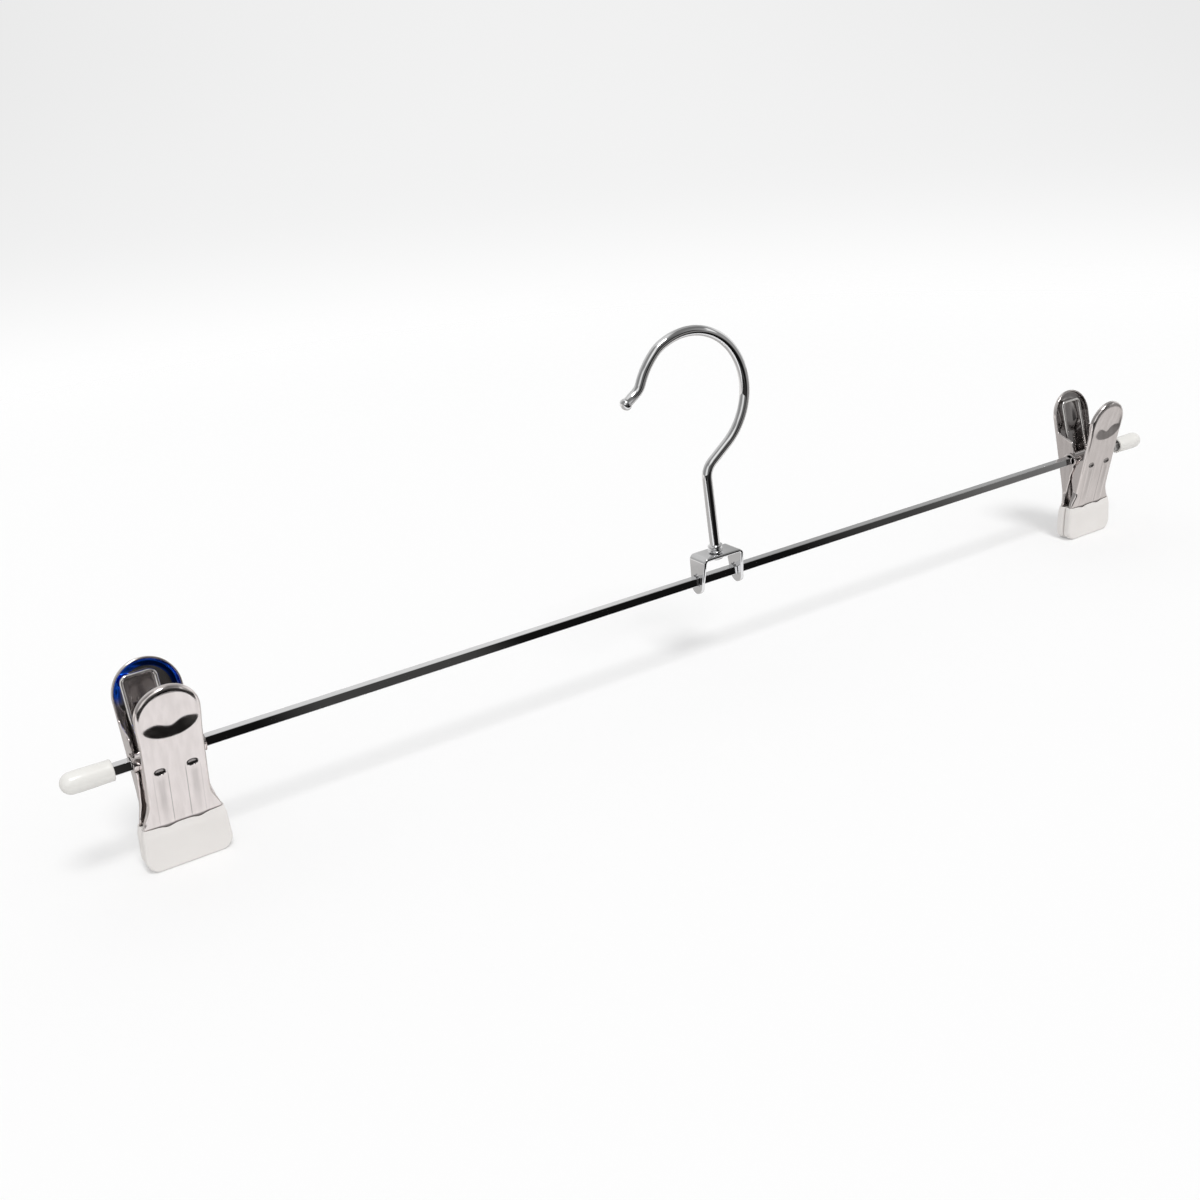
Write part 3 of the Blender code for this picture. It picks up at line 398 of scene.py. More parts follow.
def make_spring_steel():
    """Bright drawn wire."""
    finish = new_material("drawn spring wire")
    mottle = finish.noise(2.0, 700.0)
    colour = finish.blend(mottle, rgb(0.80, 0.78, 0.765), rgb(0.90, 0.88, 0.87))
    return finish.shade(Metallic=1.0, Base_Color=colour, Roughness=mottle * 0.08 + 0.05)


def make_sleeve_vinyl():
    """Soft dipped vinyl: satin, faintly cloudy, with a fine skin."""
    finish = new_material("dipped vinyl")
    cloud = finish.noise(3.0, 95.0)
    skin = finish.noise(3.0, 1800.0)
    colour = finish.blend(cloud, rgb(0.795, 0.762, 0.736), rgb(0.85, 0.825, 0.802))
    return finish.shade(Metallic=0.0, Coat_Weight=0.08, Coat_Roughness=0.35, Base_Color=colour,
                        Roughness=skin * 0.12 + cloud * 0.12 + 0.28,
                        Normal=finish.bump(skin * 0.4 + cloud, 0.25, 0.12 * MM))


def make_cap_vinyl():
    """Glossy dipped vinyl of the bar's caps, a little yellower."""
    finish = new_material("cap vinyl")
    cloud = finish.noise(2.0, 160.0)
    colour = finish.blend(cloud, rgb(0.80, 0.785, 0.75), rgb(0.86, 0.85, 0.82))
    return finish.shade(Metallic=0.0, Coat_Weight=0.35, Coat_Roughness=0.12, Base_Color=colour,
                        Roughness=cloud * 0.1 + 0.2, Normal=finish.bump(cloud, 0.3, 0.2 * MM))


# Meshes from arrays

def in_scene(name, data):
    """A new object of the scene with this mesh, lamp or camera."""
    item = bpy.data.objects.new(name, data)
    bpy.context.scene.collection.objects.link(item)
    return item


def dress(item, node, body):
    """Puts a finished piece in the place of its node, which it hides, and on its body."""
    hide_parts(node)
    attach(item, body)


def outward(mesh, merge=False):
    """Turns the faces outwards; merge first joins doubles and drops empty faces."""
    bm = bmesh.new()
    bm.from_mesh(mesh)
    if merge:
        bmesh.ops.remove_doubles(bm, verts=bm.verts, dist=MERGE_DISTANCE)
        bmesh.ops.dissolve_degenerate(bm, edges=bm.edges, dist=EMPTY_DISTANCE)
    bmesh.ops.recalc_face_normals(bm, faces=bm.faces)
    bm.to_mesh(mesh)
    bm.free()


def smooth(mesh, sharp=SHARP_ANGLE):
    """Smooth shading, apart from edges that bend by more than sharp degrees."""
    mesh.shade_smooth()
    mesh.set_sharp_from_angle(angle=radians(sharp))


def grid_object(name, grids, material, wrap=True, zip_ends=False, sharp=SHARP_ANGLE):
    """One mesh of quads between neighbours of (rows, columns, 3) arrays; wrap joins the last column to the
    first, and zip_ends closes the first and last row across, point i to point n - 1 - i."""
    quads, base = [], 0
    for grid in grids:
        rows, columns, _ = grid.shape
        index = base + np.arange(rows * columns).reshape(rows, columns)
        base += rows * columns
        if wrap:
            index = np.concatenate([index, index[:, :1]], axis=1)
        corners = [index[:-1, :-1], index[:-1, 1:], index[1:, 1:], index[1:, :-1]]
        quads.append(np.stack(corners, axis=-1).reshape(-1, 4))
        if zip_ends:
            half = columns // 2
            for line, forward in ((index[0], False), (index[-1], True)):
                other = line[::-1]
                across = np.stack([line[:half], line[1:half + 1], other[1:half + 1], other[:half]], axis=-1)
                quads.append(across if forward else across[:, ::-1])
    mesh = bpy.data.meshes.new(name)
    mesh.from_pydata(np.concatenate([grid.reshape(-1, 3) for grid in grids]), [],
                     np.concatenate(quads).tolist())
    outward(mesh, merge=True)
    smooth(mesh, sharp)
    mesh.materials.append(material)
    return in_scene(name, mesh)


def bore(item, cutters):
    """Takes cutter objects out of an object, for good."""
    for tool in cutters:
        modifier = item.modifiers.new(tool.name, "BOOLEAN")
        modifier.operation = "DIFFERENCE"
        modifier.object = tool
        modifier.solver = "EXACT"
    bpy.context.view_layer.update()
    depsgraph = bpy.context.evaluated_depsgraph_get()
    mesh = bpy.data.meshes.new_from_object(item.evaluated_get(depsgraph))
    old = item.data
    item.modifiers.clear()
    item.data = mesh
    mesh.name = old.name
    bpy.data.meshes.remove(old)
    for tool in cutters:
        bpy.data.objects.remove(tool)
    smooth(mesh)


def rod_cutter(name, outline, low, high, matrix=Matrix()):
    """A prism along X from low to high with an outline of (y, z) pairs, placed by a matrix."""
    count = len(outline)
    points = np.concatenate([np.column_stack([np.full(count, x), outline]) for x in (low, high)])
    around = np.arange(count)
    ahead = (around + 1) % count
    faces = np.stack([around, ahead, ahead + count, around + count], axis=-1).tolist()
    faces += [around[::-1].tolist(), (around + count).tolist()]
    mesh = bpy.data.meshes.new(name)
    mesh.from_pydata(points, [], faces)
    outward(mesh)
    mesh.transform(matrix)
    return in_scene(name, mesh)


def full_turn(count):
    """Angles all round, evenly spaced."""
    return np.linspace(0.0, tau, count, endpoint=False)


def circle(centre, radius, turn):
    """Points on a circle in a plane at these angles."""
    return np.column_stack([centre[0] + radius * np.cos(turn), centre[1] + radius * np.sin(turn)])


def unit(rows):
    """Each row as a vector of length 1."""
    return rows / np.linalg.norm(rows, axis=1, keepdims=True)


def closed(grid):
    """The grid with one more row at each end, drawn together into that end's middle."""
    ends = [np.broadcast_to(row.mean(axis=1, keepdims=True), row.shape) for row in (grid[:1], grid[-1:])]
    return np.concatenate([ends[0], grid, ends[1]])


def ease(x):
    """Smooth step from 0 to 1, on arrays."""
    x = np.clip(x, 0.0, 1.0)
    return x * x * (3.0 - 2.0 * x)


def ramp(value, start, run):
    """Smooth step from 0 at start to 1 a run further, on arrays."""
    return ease((value - start) / run)


def eased_table(value, table):
    """Reads (place, size) pairs on an array, with a smooth run between them."""
    result = np.full(np.shape(value), table[0][1], dtype=float)
    for (a, size_a), (b, size_b) in zip(table, table[1:]):
        result = np.where(value > a, size_a + (size_b - size_a) * ramp(value, a, b - a), result)
    return result


def corner_cut(height, radius):
    """How far a side is drawn in at a height over the foot, where its corner is rounded to a radius."""
    short = np.clip(radius - height, 0.0, radius)
    return radius - np.sqrt(radius ** 2 - short ** 2)


def stacked(x, y, z):
    """Three arrays as one (rows, columns, 3) array."""
    return np.stack(np.broadcast_arrays(x, y, z), axis=-1)


def turned_grid(profile, middle):
    """Surface of revolution about the bar's line: each (x, r) pair of the profile gives the ring
    middle + x, r cos t, PIVOT_HEIGHT + r sin t."""
    x, r = np.array(profile).T[..., None]
    turn = full_turn(64)
    return stacked(x + middle, r * np.cos(turn), PIVOT_HEIGHT + r * np.sin(turn))


def tube_grid(path, radius, count, side):
    """A round wire: at each point of a path the ring p + r (n cos t + b sin t), where b is a fixed side
    direction made square to the path, and n is square to both."""
    ahead = unit(np.gradient(path, axis=0))
    binormal = unit(side - ahead * (ahead @ side)[:, None])
    normal = np.cross(binormal, ahead)
    turn = full_turn(count)
    rim = normal[:, None] * np.cos(turn)[None, :, None] + binormal[:, None] * np.sin(turn)[None, :, None]
    return path[:, None] + rim * radius


def rounded(points, radius, count):
    """A path of straight runs whose corners are arcs of a radius, as an array."""
    points = [np.array(point, dtype=float) for point in points]
    line = [points[0]]
    for before, corner, after in zip(points, points[1:], points[2:]):
        a = (before - corner) / np.linalg.norm(before - corner)
        b = (after - corner) / np.linalg.norm(after - corner)
        half = acos(a @ b) / 2
        middle = (a + b) / np.linalg.norm(a + b)
        across = (a - b) / np.linalg.norm(a - b)
        centre = corner + middle * radius / sin(half)
        for turn in np.linspace(pi / 2 - half, half - pi / 2, count):
            line.append(centre - middle * radius * cos(turn) + across * radius * sin(turn))
    return np.array(line + [points[-1]])


# Jaws

def spine(v):
    """Outer face of a jaw's middle at v: y and z from the pivot and the lean, straight above the bend,
    an arc through it, upright below."""
    tangent = BEND_RADIUS * tan(LEAN / 2)
    upper = TIP_FACE * sin(LEAN) + (BEND_HEIGHT - PIVOT_HEIGHT) * cos(LEAN) + tangent
    top = np.maximum(v, upper)
    y = -PIVOT_DEPTH * cos(LEAN) - top * sin(LEAN)
    z = -PIVOT_DEPTH * sin(LEAN) + top * cos(LEAN)
    run = np.clip(upper - v, 0.0, BEND_RADIUS * LEAN)
    lean = LEAN - run / BEND_RADIUS
    y = y + BEND_RADIUS * (np.cos(lean) - cos(LEAN))
    z = z - BEND_RADIUS * (sin(LEAN) - np.sin(lean)) - np.maximum(upper - v - run, 0.0)
    return y, z, lean


def v_at(height):
    """v of the outer face at a height over the floor; there the tip is upright, so v and z run alike."""
    low = -PIVOT_HEIGHT
    return float(height - PIVOT_HEIGHT - spine(low)[1] + low)


NECK_V = v_at(SLEEVE_TOP)
TIP_V = v_at(TIP_FLOOR_GAP)


def half_width(v, face):
    """Half width of the pressed outline up to the head, its lower corners rounded."""
    waist = WAIST[face]
    width = eased_table(v, [(TIP_V, TIP_HALF_WIDTH), (NECK_V, SHOULDER),
                            (-SLIT_TOP - WAIST_RUN, waist + WAIST_FLARE), (-SLIT_TOP, waist),
                            (EAR_TOP + HEAD_START, waist), (HEAD_V[face], HEAD_RADIUS[face])])
    return width - corner_cut(v - TIP_V, TIP_CORNER)


def flange_depth(v, face):
    """Depth of the side flange at v: the neck and slit below, the ear at the pivot, the rim above."""
    neck = NECK_V + NECK_RUN
    below = SHEET + (NECK_FLANGE - SHEET) * ramp(v, NECK_V, NECK_RUN)
    rise = np.clip((v - neck) / (-SLIT_TOP - neck), 0.0, 1.0)
    below = np.where(v > neck, NECK_FLANGE + (SLIT_DEPTH - NECK_FLANGE) * rise ** 1.5, below)
    upright = PIVOT_DEPTH + EAR_LIP / cos(LEAN) + v * tan(LEAN)
    edge = PIVOT_DEPTH if face == "front" else upright
    under = SLIT_DEPTH + (edge - SLIT_DEPTH) * ramp(v, -SLIT_TOP, SLIT_TOP - EAR_REACH)
    if face == "front":
        boss = PIVOT_DEPTH + np.sqrt(np.clip(EAR_REACH ** 2 - v * v, 0.0, None))
        run = np.clip((v - CRADLE_TOP) / CRADLE_RUN, 0.0, 1.0)
        lip = HANDLE_FLANGE + (CRADLE_LIP - HANDLE_FLANGE) * (1.0 - run) ** 2.2
        ear = np.where(v > CRADLE_TOP, lip, boss)
        ear = ear + (RIM_DEPTH - HANDLE_FLANGE) * ramp(v, EAR_SHOULDER, HEAD_V[face] - EAR_SHOULDER)
    else:
        corner = upright - EAR_BACK
        sloped = upright + (corner - upright) * ramp(v, EAR_FRONT, EAR_TOP - EAR_FRONT)
        ear = np.where(v > EAR_FRONT, sloped, upright)
        down = ramp(v, EAR_TOP, EAR_SHOULDER - EAR_TOP)
        ear = np.where(v > EAR_TOP, corner + (RIM_DEPTH - corner) * down, ear)
    return np.where(v > -EAR_REACH, ear, np.where(v > -SLIT_TOP, under, below))


def scoop(x, up):
    """Inward depth of the thumb dish at a height above the head's centre: it deepens downwards, with a low
    ridge along its middle, and ends in a steep wall that faces upwards."""
    across = np.clip(np.abs(x) / DISH_HALF_WIDTH, 0.0, 1.0)
    bow = np.sqrt(1.0 - across ** 2)
    low = -DISH_SIDES - DISH_SAG * bow
    wall_top = -WALL_TOP - WALL_DIP * np.exp(-(x / WALL_DIP_WIDTH) ** 2) - WALL_DROOP * across ** 4
    wall_top = np.maximum(wall_top, low + WALL_LEAST)
    slope = np.clip((DISH_TOP * bow - up) / (DISH_TOP * bow - wall_top), 0.0, None)
    depth = DISH_DEPTH * bow ** 2 * (1.0 - DISH_RIDGE * np.exp(-(x / DISH_RIDGE_WIDTH) ** 2))
    return depth * ramp(up, low, wall_top - low) * slope


def relief(x, v, head_v):
    """Inward depth of the pressed relief: two raised ribs, two oval dimples and the thumb dish."""
    off = np.abs(np.abs(x) - RIB_MIDDLE) / RIB_HALF_WIDTH
    run = ramp(-v, -DIMPLE_V, RIB_TOP_RUN) * ramp(v, NECK_V - RIB_FOOT_RUN / 2, RIB_FOOT_RUN)
    depth = -RIB_HEIGHT * run * np.clip(1.0 - off ** 2, 0.0, None) ** 0.7
    aside = np.abs(x) - RIB_MIDDLE
    spot = (aside / DIMPLE_HALF[0]) ** 2 + ((v - DIMPLE_V) / DIMPLE_HALF[1]) ** 2
    depth = depth + DIMPLE_DEPTH * np.sqrt(np.clip(1.0 - spot, 0.0, None))
    return depth + scoop(x, v - head_v)


def jaw_rows(face):
    """Edge points and inner ends of the rows across a jaw: up the left side, round the head in a fan from
    the head's middle, and down the right side."""
    head_v, radius = HEAD_V[face], HEAD_RADIUS[face]
    dish_low = head_v - DISH_SIDES - DISH_SAG
    corner = TIP_V + TIP_CORNER * (1 - np.cos(np.linspace(0, pi / 2, 8)))
    under, over = DIMPLE_V - DIMPLE_MARGIN, DIMPLE_V + DIMPLE_MARGIN
    spans = ((corner[-1], NECK_V, 8), (NECK_V, -SLIT_TOP, 26), (-SLIT_TOP, -EAR_REACH, 12),
             (-EAR_REACH, under, 6), (under, over, 20), (CRADLE_TOP, CRADLE_TOP + CRADLE_STEP, 2),
             (over, dish_low, 26), (dish_low, head_v, 46))
    v = np.unique(np.concatenate([corner] + [np.linspace(*span) for span in spans]).round(8))
    width = half_width(v, face)
    turn = np.radians(np.arange(177, 0, -3))
    edge_x = np.concatenate([-width, radius * np.cos(turn), width[::-1]])
    edge_v = np.concatenate([v, head_v + radius * np.sin(turn), v[::-1]])
    inner_v = np.concatenate([v, np.full(len(turn), head_v), v[::-1]])
    return edge_x, edge_v, inner_v


def jaw_section(flange, edge, reach):
    """One closed section per row, as (inset, depth) arrays: the face from the middle out, the outer bend,
    the flange, its rounded edge, and the same way back inside."""
    faces = np.concatenate([np.linspace(0.0, 0.5, 14), np.linspace(0.5, 1.0, 26)[1:]])
    turns = np.linspace(pi / 2, 0.0, 8)
    down = np.linspace(0.0, 1.0, 5)[1:]
    half = np.linspace(0.0, pi, 7)[1:-1]
    flange, edge, reach = flange[:, None], edge[:, None], reach[:, None]
    round_tip = SHEET / 2
    tip = np.maximum(flange - round_tip, edge + LEAST_FLANGE)
    bend = np.maximum(edge - SHEET, LEAST_BEND)
    inner_edge = SHEET + bend
    parts = [(reach + (edge - reach) * faces, 0.0),
             (edge * (1 - np.cos(turns)), edge * (1 - np.sin(turns))),
             (0.0, edge + (tip - edge) * down),
             (round_tip * (1 - np.cos(half)), tip + round_tip * np.sin(half)),
             (SHEET, inner_edge + (np.maximum(tip, inner_edge) - inner_edge) * down[::-1]),
             (inner_edge - bend * np.cos(turns[::-1]), inner_edge - bend * np.sin(turns[::-1])),
             (reach + (inner_edge - reach) * faces[::-1], SHEET)]
    insets, depths = zip(*(np.broadcast_arrays(*part) for part in parts))
    return np.concatenate(insets, axis=1), np.concatenate(depths, axis=1)


def jaw_grid(face):
    """The jaw's sheet in its own frame (pivot at 0, facing -Y): x and v from the rows, then out of the
    plane by depth plus relief along the local inward direction."""
    edge_x, edge_v, inner_v = jaw_rows(face)
    reach = np.hypot(edge_x, edge_v - inner_v)
    flange = np.where(edge_v > HEAD_V[face], RIM_DEPTH, flange_depth(edge_v, face))
    edge = TIP_EDGE + (EDGE_RADIUS - TIP_EDGE) * ramp(edge_v, NECK_V, EDGE_RUN)
    inset, depth = jaw_section(flange, edge, reach)
    x = edge_x[:, None] * (1 - inset / reach[:, None])
    v = edge_v[:, None] + (inner_v - edge_v)[:, None] * inset / reach[:, None]
    y, z, lean = spine(v)
    q = depth + relief(x, v, HEAD_V[face]) * ease(1 - np.clip(depth - SHEET, 0.0, None) / EDGE_RUN)
    return stacked(x, y + q * np.cos(lean), z + q * np.sin(lean))


def facing(face):
    """The front jaw stands as it is, and the rear jaw is turned half round."""
    return np.array([1.0, 1.0, 1.0] if face == "front" else [-1.0, -1.0, 1.0])


def pivot_at(side):
    """The middle of a clip's pivot."""
    return np.array([CLIP_X[side], 0.0, PIVOT_HEIGHT])


def placed(grid, side, face):
    """A clip's grid at its place on the bar."""
    return grid * facing(face) + pivot_at(side)


def mark_sides(item, side, face):
    """Attribute inner: 1 on the inside of the sheet, where shade is painted. A second attribute: 1 on the
    inside of the head in a band along its rim, fading out at both ends, where the rim is painted blue."""
    mesh = item.data
    place = np.empty(len(mesh.vertices) * 3)
    mesh.vertices.foreach_get("co", place)
    x, y, z = ((place.reshape(-1, 3) - pivot_at(side)) * facing(face)).T
    v = -y * sin(LEAN) + z * cos(LEAN)
    q = PIVOT_DEPTH + y * cos(LEAN) + z * sin(LEAN)
    head_v = HEAD_V[face]
    out = np.hypot(x, v - head_v)
    from_middle = np.where(v > head_v, out, np.abs(x))
    # Where shade is painted on the inside of the sheet, leaving the rim's edge bright
    inner = ramp(q - relief(x, v, head_v), SHEET / 2, 0.1 * MM) * ramp(v, -5 * MM, 2 * MM)
    inner = inner * ease((HEAD_RADIUS[face] - RIM_LEFT_BRIGHT - from_middle) / (0.2 * MM))
    band = ramp(out, BLUE_RIM_INSIDE, 0.35 * MM) * ramp(v - head_v, -2.5 * MM, 3.5 * MM)
    for name, value in (("inner", inner), ("blue_rim", inner * band)):
        layer = mesh.attributes.new(name, "FLOAT", "POINT")
        layer.data.foreach_set("value", value.astype(np.float32))


def make_jaw(side, face, material):
    """One pressed jaw, bored for the pivot tube."""
    grid = placed(jaw_grid(face), side, face)
    jaw = grid_object(f"{side}_{face}_pressed_jaw", [grid], material, wrap=False, zip_ends=True, sharp=40)
    x = CLIP_X[side]
    hole = circle((0.0, PIVOT_HEIGHT), EAR_HOLE, full_turn(48))
    bore(jaw, [rod_cutter("ear_hole", hole, x - EAR_DRILL, x + EAR_DRILL)])
    mark_sides(jaw, side, face)
    dress(jaw, f"{side}_{face}_jaw", f"{side}_{face}_jaw")


# Sleeves

def sleeve_grid():
    """Rings round the tip, stacked upwards: each is a rounded rectangle whose width follows the tip's
    outline; the top edge waves with the ribs and closes in on the steel."""
    height = np.concatenate([np.array([0.0, 0.02, 0.12, 0.3, 0.6, 1.0]) * SLEEVE_ROUND,
                             np.linspace(SLEEVE_ROUND, SLEEVE_CORNER, 8)[1:],
                             np.linspace(SLEEVE_CORNER, SLEEVE_TOP, 22)[1:]])
    thin = ease((height - SLEEVE_TOP + SLEEVE_TAPER) / SLEEVE_TAPER)
    sole = np.clip(1.0 - height / SLEEVE_ROUND, 0.0, 1.0)
    sole = SLEEVE_ROUND * (1 - np.sqrt(1 - sole ** 2))
    width = eased_table(height, [(0.0, TIP_HALF_WIDTH), (SLEEVE_TOP, SHOULDER)]) + SLEEVE_MARGIN
    width = width - corner_cut(height, SLEEVE_CORNER) - SLEEVE_THINNING * thin
    outer = -SLEEVE_FACE + SLEEVE_THINNING * thin + sole
    back = -SLEEVE_BACK - sole
    corner = np.minimum(SLEEVE_SIDE_ROUND * (1 - 0.35 * thin), (back - outer) / 2.2)
    turns = np.radians(np.linspace(0, 90, 7))
    straight = np.linspace(-1.0, 1.0, 33)[1:-1]
    columns = []
    for sx, sy, start in ((1, -1, -90), (1, 1, 0), (-1, 1, 90), (-1, -1, 180)):
        middle_x = sx * (width - corner)
        middle_y = outer + corner if sy < 0 else back - corner
        angle = radians(start) + turns
        columns.append((middle_x[:, None] + corner[:, None] * np.cos(angle),
                        middle_y[:, None] + corner[:, None] * np.sin(angle)))
        if sx * sy > 0:
            flat = back if sy > 0 else outer
            columns.append(np.broadcast_arrays((width - corner)[:, None] * (-sy * straight), flat[:, None]))
    x, y = (np.concatenate(parts, axis=1) for parts in zip(*columns))
    share = np.clip((height - WAVE_START) / (SLEEVE_TOP - WAVE_START), 0.0, 1.0)[:, None]
    over_rib = np.exp(-((np.abs(x) - RIB_MIDDLE) / WAVE_WIDTH) ** 2)
    wave = WAVE_ENDS * (x / SHOULDER) ** 4 - WAVE_DIP * over_rib - WAVE_SINK
    grid = stacked(x, y, height[:, None] + wave * share ** 2)
    rings = [grid[:1] * [SOLE_NARROWING, 0.0, 1.0] - [0.0, (SLEEVE_FACE + SLEEVE_BACK) / 2, 0.0], grid]
    for pull, narrowing, rise in SLEEVE_LIP:
        lip = grid[-1:].copy()
        lip[..., 1] += (SHEET / 2 - TIP_FACE - lip[..., 1]) * pull
        rings.append(lip * [narrowing, 1.0, 1.0] + [0.0, 0.0, rise])
    return np.concatenate(rings) - [0.0, 0.0, PIVOT_HEIGHT]


def make_sleeve(side, face, material):
    """One dipped sleeve."""
    grid = placed(sleeve_grid(), side, face)
    sleeve = grid_object(f"{side}_{face}_dipped_sleeve", [grid], material, zip_ends=True, sharp=60)
    dress(sleeve, f"{side}_{face}_sleeve", f"{side}_{face}_jaw")


# Tube and spring

def make_pivot_tube(side, material):
    """The pivot tube: a thin barrel whose ends are rolled out into rims."""
    end, seat, soft = -TUBE_END, -TUBE_SEAT, TUBE_SOFT_EDGE
    profile = [(end + 0.05 * MM, TUBE_BORE), (end, TUBE_BORE + 0.08 * MM), (end, TUBE_RIM - 0.15 * MM),
               (end + 0.08 * MM, TUBE_RIM), (seat - soft, TUBE_RIM), (seat, TUBE_RIM - soft),
               (seat, TUBE_RADIUS + soft), (seat + soft, TUBE_RADIUS)]
    profile += [(-x, r) for x, r in reversed(profile)]
    profile.append(profile[0])
    tube = grid_object(f"{side}_rolled_pivot_tube", [turned_grid(profile, CLIP_X[side])], material)
    dress(tube, f"{side}_pivot_tube", f"{side}_carrier")


def spring_seat(reach, face, bend):
    """(y, z) from the pivot of the wire's middle inside a head; its leg clears the thumb dish."""
    clear = SHEET + SPRING_GAP + SPRING_WIRE / 2
    wire = SPRING_WIRE * np.array([-0.5, 0.0, 0.5])
    x, v = np.meshgrid(SPRING_SIDE * np.linspace(0.001, 1.0, 5), reach + wire)
    depth = clear + np.max(relief(x, v, HEAD_V[face]))
    x, v = np.meshgrid(SPRING_SIDE + wire, reach * np.arange(1, 12) / 12)
    needed = clear + relief(x, v, HEAD_V[face])
    depth = max(depth, np.max((needed - (PIVOT_DEPTH - bend) * (1 - v / reach)) * reach / v))
    out = PIVOT_DEPTH - depth
    return np.array([-out * cos(LEAN) - reach * sin(LEAN),
                     -out * sin(LEAN) + reach * cos(LEAN)])


def spring_path():
    """The spring in its own plane x = const: radius of the arc under the tube, the two seats, and the
    angles at which each leg leaves the arc."""
    bend = TUBE_RADIUS + SPRING_GAP + SPRING_WIRE / 2
    front = spring_seat(SPRING_FRONT_REACH, "front", bend)
    rear = spring_seat(SPRING_REAR_REACH, "rear", bend) * np.array([-1.0, 1.0])
    rear_turn = atan2(rear[1], rear[0]) - acos(bend / np.hypot(*rear))
    front_turn = atan2(front[1], front[0]) + acos(bend / np.hypot(*front)) - tau
    return bend, front, rear, front_turn, rear_turn


def leg(seat, turn, bend, inward):
    """One leg: from the middle of the arc under the tube out to the seat, and round the corner along X."""
    under = circle((0.0, 0.0), bend, np.linspace(-pi / 2, turn, 24))
    start = np.column_stack([np.full(len(under), SPRING_SIDE), under])
    corners = [start[-1], (SPRING_SIDE, *seat), (SPRING_SIDE + inward, *seat)]
    top = rounded(corners, SPRING_BEND, 12)[1:]
    straight = np.linspace(start[-1], top[0], 8)[1:-1]
    return np.concatenate([start, straight, top])


def make_spring(side, material):
    """The bow spring in two pieces that part under the tube, one named for each jaw."""
    bend, front, rear, front_turn, rear_turn = spring_path()
    shift = pivot_at(side) + [SPRING_SHIFT[side], 0.0, 0.0]
    mirror = np.array([-1.0, 1.0, 1.0])
    right = leg(rear, rear_turn, bend, -SPRING_SIDE)
    bow = np.concatenate([right, (right * mirror)[-2::-1]])
    tail = leg(front, front_turn, bend, -SPRING_END)
    for face, paths, turn in (("rear", [bow], rear_turn), ("front", [tail, tail * mirror], front_turn)):
        grids = [closed(tube_grid(path + shift, SPRING_WIRE / 2, 20, SPRING_TILT)) for path in paths]
        wire = grid_object(f"{side}_{face}_spring_wire", grids, material)
        start = shift + [0.0, bend * cos(turn), bend * sin(turn)]
        end = shift + [0.0, 0.0, -bend]
        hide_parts(f"{side}_bow_spring")
        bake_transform(wire)


# Bar, caps, saddle and hook

def make_bar(material):
    """The square bar: a square section with rounded corners carried along X, its end faces bevelled."""
    flat = BAR_SIDE / 2 - BAR_EDGE
    turns = np.linspace(0, pi / 2, 6)[[0, 0, 1, 2, 3, 4, 5, 5]]
    hold = FLAT_HOLD * np.array([-1.0, 0.0, 0.0, 0.0, 0.0, 0.0, 0.0, 1.0])
    section = []
    for quarter, (sy, sz) in enumerate(((1, 1), (-1, 1), (-1, -1), (1, -1))):
        angle = quarter * pi / 2 + turns
        section.append(np.column_stack([sy * flat + BAR_EDGE * np.cos(angle) - hold * np.sin(angle),
                                        sz * flat + BAR_EDGE * np.sin(angle) + hold * np.cos(angle)]))
    section = np.concatenate(section)
    half = BAR_LENGTH / 2
    size = np.array([0.0, 0.9, 1.0, 1.0, 0.9, 0.0])[:, None]
    along = np.array([-half, -half, -half + BAR_EDGE, half - BAR_EDGE, half, half])[:, None]
    grid = stacked(along, size * section[:, 0], size * section[:, 1] + PIVOT_HEIGHT)
    dress(grid_object("square_cross_bar", [grid], material), "cross_bar", "frame")


def make_cap(side, material):
    """A bullet cap: slightly waisted barrel, round nose, soft lip, and the bore that the bar goes into."""
    sign = 1.0 if side == "right" else -1.0
    lip = (CAP_RADIUS - CAP_BORE) / 2
    mouth = [(lip * (1 - sin(a)) * 0.9, CAP_BORE + lip + lip * cos(a))
             for a in np.linspace(pi, 0.0, 9)]
    barrel = [(x * MM, CAP_RADIUS - CAP_WAIST * cos(x / 10 * pi))
              for x in (1.0, 2.5, 4.0, 6.0, 8.0, 10.0)]
    nose = [(CAP_LENGTH - CAP_RADIUS + CAP_RADIUS * sin(a), CAP_RADIUS * cos(a))
            for a in np.linspace(0.0, pi / 2, 16)]
    profile = [(CAP_FLOOR, 0.0), (CAP_FLOOR, CAP_BORE)] + mouth + barrel + nose
    start = BAR_LENGTH / 2 + CAP_OVERHANG - CAP_LENGTH
    profile = [(sign * (start + x), r) for x, r in profile]
    cap = grid_object(f"{side}_bullet_cap", [turned_grid(profile, 0.0)], material)
    dress(cap, f"{side}_end_cap", "frame")


def saddle_line():
    """The bent line of the saddle from foot to foot as (x, z) points, and its half depth there, which shrinks
    to a half round at both ends."""
    half, reach = SADDLE_SPAN / 2, SADDLE_FOOT / 2
    foot = half + tan(SADDLE_SPLAY) * SADDLE_DROP
    line = rounded([(-foot, -SADDLE_DROP), (-half, 0.0), (half, 0.0), (foot, -SADDLE_DROP)], SADDLE_BEND, 12)
    turns = np.radians([2, 6, 12, 20, 30, 42, 54, 66, 78, 90])
    drops = reach * (1 - np.cos(turns))[:, None]
    left, right = unit(np.array([line[1] - line[0], line[-2] - line[-1]]))
    path = np.concatenate([line[0] + left * drops, line[1:-1], line[-1] + right * drops[::-1]])
    depth = [reach * np.sin(turns), np.full(len(line) - 2, SADDLE_DEPTH / 2), reach * np.sin(turns[::-1])]
    return path, np.concatenate(depth)


